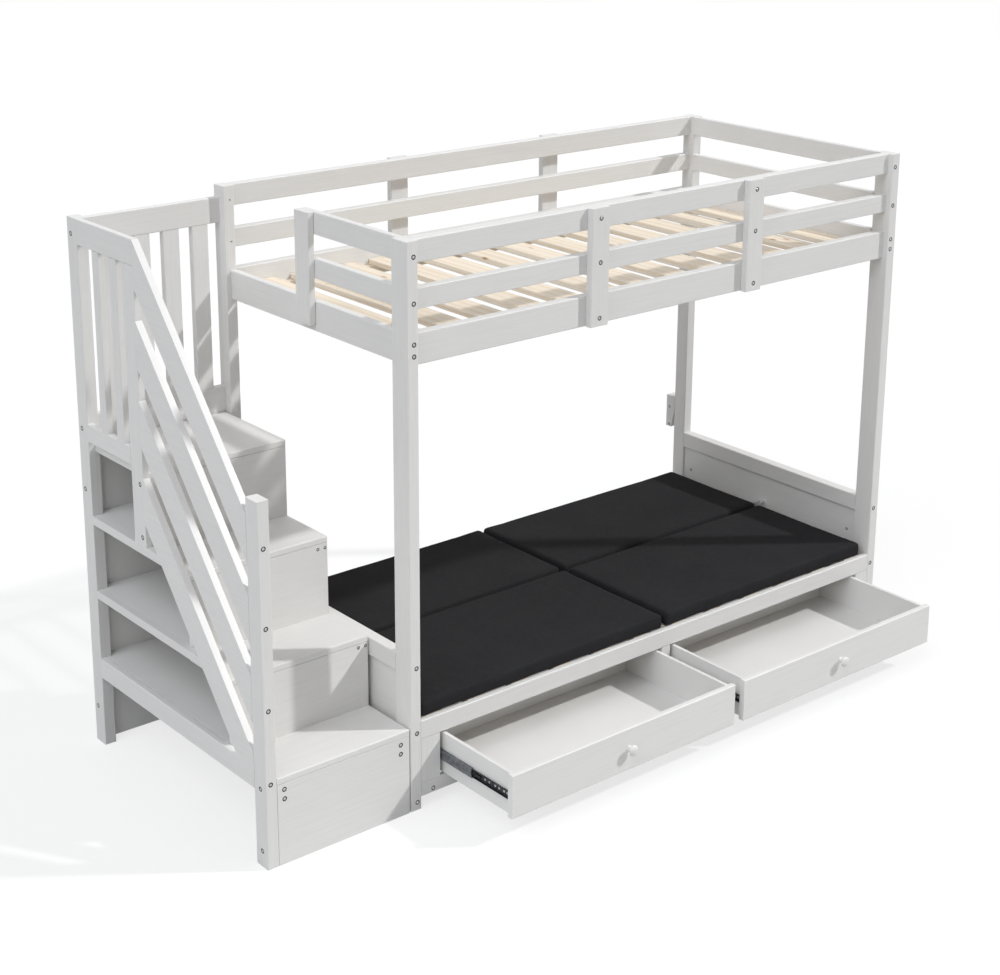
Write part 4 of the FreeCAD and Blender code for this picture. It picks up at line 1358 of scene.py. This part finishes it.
@dataclass
class SlideSet:
    """The rolled three-member ball slides of one drawer, and the small parts that ride in them."""

    side_name: str
    finishes: Finishes
    hardware: Hardware
    repeater: Repeater
    steel: float = 1.2
    bend: float = 2.4
    groove: float = 1.4
    ball_radius: float = 0.95
    bumper_reach: float = 1.2
    ball_step: float = 9.0
    screw_steps: tuple[float, ...] = (12.0, 26.0, 48.0, 66.0, 92.0, 112.0, 300.0, 420.0)

    def build(self) -> None:
        """Roll the middle and inner members, and add their balls, levers and screws."""
        self.member(f"{self.side_name}_slide_middles", web_outside=True)
        self.member(f"{self.side_name}_slide_inners", web_outside=False)
        self.balls()
        self.lever_and_bumper()
        self.inner_screws()

    def member(self, node: str, web_outside: bool) -> None:
        """Replace one node's pair of channels by rolled ones with rounded bends."""
        shape = bmesh.new()
        groove = self.groove if web_outside else 0.0
        for number, (low, high) in enumerate(board_boxes(node)):
            side = 1.0 if (number == 0) == web_outside else -1.0
            roll_channel(shape, low, high, side, self.steel, self.bend, groove)
        bmesh.ops.recalc_face_normals(shape, faces=shape.faces)
        mesh = smooth(mesh_from(node + "_rolled", shape), 34.0)
        metal = self.finishes.slide if web_outside else self.finishes.dark_slide
        add_piece(node + "_rolled", mesh, body_of(node), metal, replaces=(node,))

    def balls(self) -> None:
        """Two rows of balls along each inner member, in the gap that the middle member runs over."""
        middles = board_boxes(f"{self.side_name}_slide_middles")
        places = []
        for (low, high), (middle_low, _) in zip(board_boxes(f"{self.side_name}_slide_inners"), middles):
            x = (low.x + high.x) / 2
            room = middle_low.y - low.y - mm(10.0)
            count = int(room / mm(self.ball_step))
            for number in range(count + 1):
                y = low.y + mm(6.0) + room * number / count
                for z, up in ((high.z + mm(self.ball_radius), 1.0), (low.z - mm(self.ball_radius), -1.0)):
                    places.append(Place(Vector((x, y, z)), Vector((0, 0, up)), Vector((1, 0, 0))))
        self.repeater.set_out(f"{self.side_name}_slide_balls", ball_shape(self.ball_radius), places,
                              f"{self.side_name}_drawer", self.finishes.bright, Slot.SLIDE)

    def lever_and_bumper(self) -> None:
        """The nylon release lever in each inner member and the bumper on each middle member."""
        levers = bmesh.new()
        for low, high in board_boxes(f"{self.side_name}_slide_inners"):
            middle = Vector(((low.x + high.x) / 2, 0.0, (low.z + high.z) / 2))
            start = low.y + mm(128.0)
            rounded_bar(levers, Vector((middle.x - mm(2.4), start, middle.z - mm(3.0))),
                        Vector((middle.x + mm(2.4), start + mm(34.0), middle.z + mm(3.0))), 1.0)
            rounded_bar(levers, Vector((middle.x - mm(2.4), start + mm(22.0), middle.z - mm(8.5))),
                        Vector((middle.x + mm(2.4), start + mm(30.0), middle.z + mm(8.5))), 1.0)
        name = f"{self.side_name}_slide_levers"
        add_piece(name, smooth(mesh_from(name, levers)), f"{self.side_name}_drawer", self.finishes.nylon)
        bumpers = bmesh.new()
        for low, high in board_boxes(f"{self.side_name}_slide_middles"):
            rounded_bar(bumpers, Vector((low.x + mm(1.4), low.y - mm(self.bumper_reach), low.z + mm(2.5))),
                        Vector((high.x - mm(1.4), low.y + mm(3.0), high.z - mm(2.5))), 0.8)
        name = f"{self.side_name}_slide_bumpers"
        add_piece(name, smooth(mesh_from(name, bumpers)), f"{self.side_name}_slide", self.finishes.nylon)

    def inner_screws(self) -> None:
        """The screws that hold each inner member to the drawer's side."""
        places = []
        for number, (low, high) in enumerate(board_boxes(f"{self.side_name}_slide_inners")):
            facing = Vector((-1.0 if number == 0 else 1.0, 0.0, 0.0))
            x = high.x - mm(self.steel) if number == 0 else low.x + mm(self.steel)
            for away in self.screw_steps:
                places.append(Place(Vector((x, low.y + mm(away), (low.z + high.z) / 2)), facing))
        self.hardware.screws(f"{self.side_name}_slide_screws", places, f"{self.side_name}_drawer")


def ball_shape(radius: float) -> bpy.types.Mesh:
    """One bearing ball."""
    shape = bmesh.new()
    bmesh.ops.create_icosphere(shape, subdivisions=1, radius=mm(radius))
    return smooth(mesh_from("ball", shape), 80.0)


@dataclass
class Drawer:
    """One drawer: its front, box and bottom, the turned knob, and its slides."""

    side_name: str
    finishes: Finishes
    hardware: Hardware
    repeater: Repeater
    corner_screw_heights: tuple[float, ...] = (112.0, 152.0, 194.0)
    corner_screw_inset: float = 6.0

    def build(self) -> None:
        """Dress the drawer and its slides."""
        name = self.side_name
        BoardGroup({f"{name}_drawer_front": Grain.ALONG_X}, self.finishes).build()
        BoardGroup({f"{name}_drawer_box": Grain.ALONG_Y, f"{name}_drawer_bottom": Grain.ALONG_X},
                   self.finishes, Slot.BOARD).build()
        self.knob()
        self.box_screws()
        SlideSet(name, self.finishes, self.hardware, self.repeater).build()

    def knob(self) -> None:
        """A turned mushroom knob, fuller and rounder than the CAD one but inside its box."""
        node = f"{self.side_name}_drawer_knob"
        low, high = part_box(node)
        reach = (high.y - low.y) * 1000
        radius = (high.x - low.x) * 500
        rings = [Ring(radius * 0.52, 0.0), Ring(radius * 0.52, 0.6), Ring(radius * 0.44, reach * 0.1)]
        rings += [Ring(radius * 0.44, reach * 0.32), Ring(radius * 0.47, reach * 0.42)]
        for step in range(1, 6):
            turn = math.pi / 2 * step / 5
            rings.append(Ring(radius * (0.47 + 0.53 * math.sin(turn)),
                              reach * (0.68 - 0.22 * math.cos(turn))))
        for step in range(1, 9):
            turn = math.pi / 2 * step / 9
            rings.append(Ring(radius * math.cos(turn) ** 0.8, reach * (0.70 + 0.30 * math.sin(turn))))
        mesh = turned_mesh(node + "_turned", rings, 48)
        place = Matrix.Translation(((low.x + high.x) / 2, high.y, (low.z + high.z) / 2))
        mesh.transform(place @ Matrix.Rotation(math.pi / 2, 4, "X"))
        add_piece(node + "_turned", mesh, body_of(node), self.finishes.lacquer[Grain.ALONG_Y],
                  replaces=(node,))

    def box_screws(self) -> None:
        """The screws through the drawer's sides into its back, and the one that holds the knob."""
        low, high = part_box(f"{self.side_name}_drawer_box")
        _, front_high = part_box(f"{self.side_name}_drawer_front")
        places = []
        for height in self.corner_screw_heights:
            for x, facing in ((low.x, -1.0), (high.x, 1.0)):
                point = Vector((x, high.y - mm(self.corner_screw_inset), mm(height)))
                places.append(Place(point, Vector((facing, 0, 0))))
        knob_low, knob_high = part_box(f"{self.side_name}_drawer_knob")
        middle = (knob_low + knob_high) / 2
        places.append(Place(Vector((middle.x, front_high.y, middle.z)), Vector((0, 1, 0))))
        self.hardware.screws(f"{self.side_name}_drawer_screws", places, f"{self.side_name}_drawer")


@dataclass
class OuterSlides:
    """The four outer slide members that are screwed to the runner boards."""

    finishes: Finishes
    hardware: Hardware
    steel: float = 1.2
    bend: float = 2.6
    screw_steps: tuple[float, ...] = (330.0, 425.0)

    def build(self) -> None:
        """Roll the outer members and set out their screws."""
        shape = bmesh.new()
        places = []
        for number, (low, high) in enumerate(board_boxes("slide_outers")):
            side = 1.0 if number % 2 == 0 else -1.0
            web_x = roll_channel(shape, low, high, side, self.steel, self.bend)
            for away in self.screw_steps:
                point = Vector((web_x + side * mm(self.steel), low.y + mm(away), (low.z + high.z) / 2))
                places.append(Place(point, Vector((side, 0, 0))))
        bmesh.ops.recalc_face_normals(shape, faces=shape.faces)
        mesh = smooth(mesh_from("slide_outers_rolled", shape), 34.0)
        add_piece("slide_outers_rolled", mesh, "root", self.finishes.slide,
                  replaces=("slide_outers",))
        self.hardware.screws("slide_outer_screws", places, "root")


# ------------------------------------------------------------------------------------------ stairs
@dataclass
class StorageStairs:
    """The stairs: newel and rear post, slatted side, stepped boxes with shelves, and the back."""

    finishes: Finishes
    hardware: Hardware
    riser_connector_heights: tuple[float, ...] = (465.0, 710.0)
    riser_connector_from_wall: tuple[float, float] = (8.0, 34.0)

    def build(self) -> None:
        """Dress the stairs' boards and set out their screws."""
        nodes = {"stair_newel": Grain.ALONG_Z, "stair_rear_post": Grain.ALONG_Z,
                 "stair_sloping_bars": Grain.ALONG_Y, "stair_side_stile": Grain.ALONG_Z,
                 "stair_side_rails": Grain.ALONG_Y, "stair_treads": Grain.ALONG_X,
                 "stair_risers": Grain.ALONG_X, "stair_front_panel": Grain.ALONG_X,
                 "stair_front_battens": Grain.ALONG_Z, "stair_bed_side_wall": Grain.ALONG_Z,
                 "stair_back_rails": Grain.ALONG_X, "stair_guard_slats": Grain.ALONG_Z}
        BoardGroup(nodes, self.finishes).build()
        boards = {"stair_shelves": Grain.ALONG_X, "stair_back_panel": Grain.ALONG_X}
        BoardGroup(boards, self.finishes, Slot.BOARD).build()
        self.hardware.connectors("riser_connectors", self.connector_places(), "root")

    def connector_places(self) -> list[Place]:
        """The small connectors that show on the risers' faces beside the bed."""
        places = []
        risers = sorted(board_boxes("stair_risers"), key=lambda box: box[0].y)
        for (low, high), height in zip(risers, self.riser_connector_heights):
            for away in self.riser_connector_from_wall:
                places.append(Place(Vector((high.x - mm(away), low.y, mm(height))), Vector((0, -1, 0))))
        return places


# ------------------------------------------------------------------------------------------ studio
@dataclass
class Studio:
    """A pale floor, a white surround, one soft key lamp and the photograph's camera."""

    camera_place: tuple[float, float, float] = (-3.7917, -4.3621, 2.9204)
    camera_right: tuple[float, float, float] = (0.770862, -0.636980, 0.005325)
    camera_up: tuple[float, float, float] = (0.174800, 0.219564, 0.959811)
    camera_back: tuple[float, float, float] = (-0.612549, -0.738951, 0.280598)
    focal_pixels: float = 1922.93
    centre_row: float = 337.45
    key_travel: tuple[float, float, float] = (-0.63, 0.46, -0.63)
    key_strength: float = 2.0
    key_softness: float = 2.5
    fill_travel: tuple[float, float, float] = (0.68, 0.20, -0.70)
    fill_strength: float = 1.4
    fill_softness: float = 50.0
    fill_colour: str = "#F4F8FF"
    sky_at_horizon: float = 0.12
    sky_gain_overhead: float = 0.40
    floor_colour: str = "#CBCBCA"
    floor_whiteness: float = 0.72
    floor_size: float = 30.0

    def build(self) -> None:
        """Set up the whole studio."""
        bpy.context.scene.view_settings.view_transform = "Standard"
        self.camera()
        self.lamp("key", self.key_travel, self.key_strength, self.key_softness, "#FFFFFF")
        self.lamp("fill", self.fill_travel, self.fill_strength, self.fill_softness, self.fill_colour)
        self.surround()
        self.floor()

    def camera(self) -> None:
        """Put the camera where the photograph's stood."""
        data = bpy.data.cameras.new("photo_camera")
        data.sensor_fit = "HORIZONTAL"
        data.sensor_width = 36.0
        data.lens = self.focal_pixels / PHOTO_WIDTH * data.sensor_width
        data.shift_y = -(PHOTO_HEIGHT / 2 - self.centre_row) / PHOTO_WIDTH
        data.clip_end = 200.0
        camera = bpy.data.objects.new("photo_camera", data)
        bpy.context.scene.collection.objects.link(camera)
        turn = Matrix((self.camera_right, self.camera_up, self.camera_back)).transposed()
        camera.matrix_world = Matrix.Translation(self.camera_place) @ turn.to_4x4()
        bpy.context.scene.camera = camera

    @staticmethod
    def lamp(name: str, travel: tuple[float, float, float], strength: float, softness: float,
             colour: str) -> None:
        """Add a distant lamp.

        Args:
            name: The lamp's name.
            travel: The way its light travels.
            strength: Its strength.
            softness: The angle that it spans in the sky, in degrees.
            colour: Its hex colour.
        """
        data = bpy.data.lights.new(name, "SUN")
        data.energy = strength
        data.color = hex_colour(colour)[:3]
        data.angle = math.radians(softness)
        lamp = bpy.data.objects.new(name, data)
        bpy.context.scene.collection.objects.link(lamp)
        way = Vector(travel).normalized()
        lamp.rotation_mode = "QUATERNION"
        lamp.rotation_quaternion = (-way).to_track_quat("Z", "Y")
        lamp.location = -way * 6.0

    def surround(self) -> None:
        """A white surround to the eye and to gloss, and a softer grey one as light."""
        world = bpy.data.worlds.new("white_room")
        bpy.context.scene.world = world
        world.use_nodes = True
        tree = world.node_tree
        tree.nodes.clear()
        white = add_node(tree, "ShaderNodeBackground", {"Color": (1, 1, 1, 1), "Strength": 1.0})
        direction = add_node(tree, "ShaderNodeTexCoord").outputs["Generated"]
        up = add_node(tree, "ShaderNodeSeparateXYZ", {0: direction}).outputs[2]
        strength = spread(tree, up, 0.0, 1.0, self.sky_at_horizon,
                          self.sky_at_horizon + self.sky_gain_overhead)
        light = add_node(tree, "ShaderNodeBackground", {"Color": (1, 1, 1, 1), "Strength": strength})
        choice = self.shown_directly(tree)
        mix = add_node(tree, "ShaderNodeMixShader", {0: choice, 1: light.outputs[0], 2: white.outputs[0]})
        add_node(tree, "ShaderNodeOutputWorld", {"Surface": mix.outputs[0]})

    @staticmethod
    def shown_directly(tree: bpy.types.NodeTree) -> bpy.types.NodeSocket:
        """1 for rays from the camera, gloss or glass, and 0 for rays that only carry light."""
        path = add_node(tree, "ShaderNodeLightPath").outputs
        two = add_node(tree, "ShaderNodeMath", {0: path["Is Camera Ray"], 1: path["Is Glossy Ray"]},
                       operation="MAXIMUM")
        three = add_node(tree, "ShaderNodeMath", {0: two.outputs[0], 1: path["Is Transmission Ray"]},
                         operation="MAXIMUM")
        return three.outputs[0]

    def floor(self) -> None:
        """A broad pale floor that keeps a light shadow of the bed."""
        shape = bmesh.new()
        bmesh.ops.create_grid(shape, x_segments=4, y_segments=4, size=self.floor_size / 2)
        for vert in shape.verts:
            vert.co.z = -0.0005
        floor = loose_object("studio_floor", mesh_from("studio_floor", shape))
        material, tree = start_material("pale_studio_floor")
        matt = add_node(tree, "ShaderNodeBsdfDiffuse", {"Color": hex_colour(self.floor_colour)})
        seen = add_node(tree, "ShaderNodeBsdfDiffuse", {"Color": (1, 1, 1, 1)})
        white = add_node(tree, "ShaderNodeEmission", {"Color": (1, 1, 1, 1), "Strength": 1.0})
        shown = add_node(tree, "ShaderNodeMixShader",
                         {0: self.floor_whiteness, 1: seen.outputs[0], 2: white.outputs[0]})
        choice = self.shown_directly(tree)
        mix = add_node(tree, "ShaderNodeMixShader", {0: choice, 1: matt.outputs[0], 2: shown.outputs[0]})
        finish_material(material, mix, self.floor_colour)
        floor.data.materials.append(material)


def main() -> None:
    """Build the studio and then every sub-assembly in order."""
    logging.basicConfig(level=logging.INFO, format="%(name)s: %(message)s")
    Studio().build()
    finishes = Finishes.make()
    repeater = Repeater()
    hardware = Hardware(finishes, repeater)
    BedFrame(finishes).build()
    UpperDeck(finishes, hardware).build()
    LowerBed(finishes, hardware).build()
    Futon(finishes, repeater).build()
    for side_name in ("left", "right"):
        Drawer(side_name, finishes, hardware, repeater).build()
    OuterSlides(finishes, hardware).build()
    StorageStairs(finishes, hardware).build()
    hardware.build()


if __name__ == "__main__":
    main()
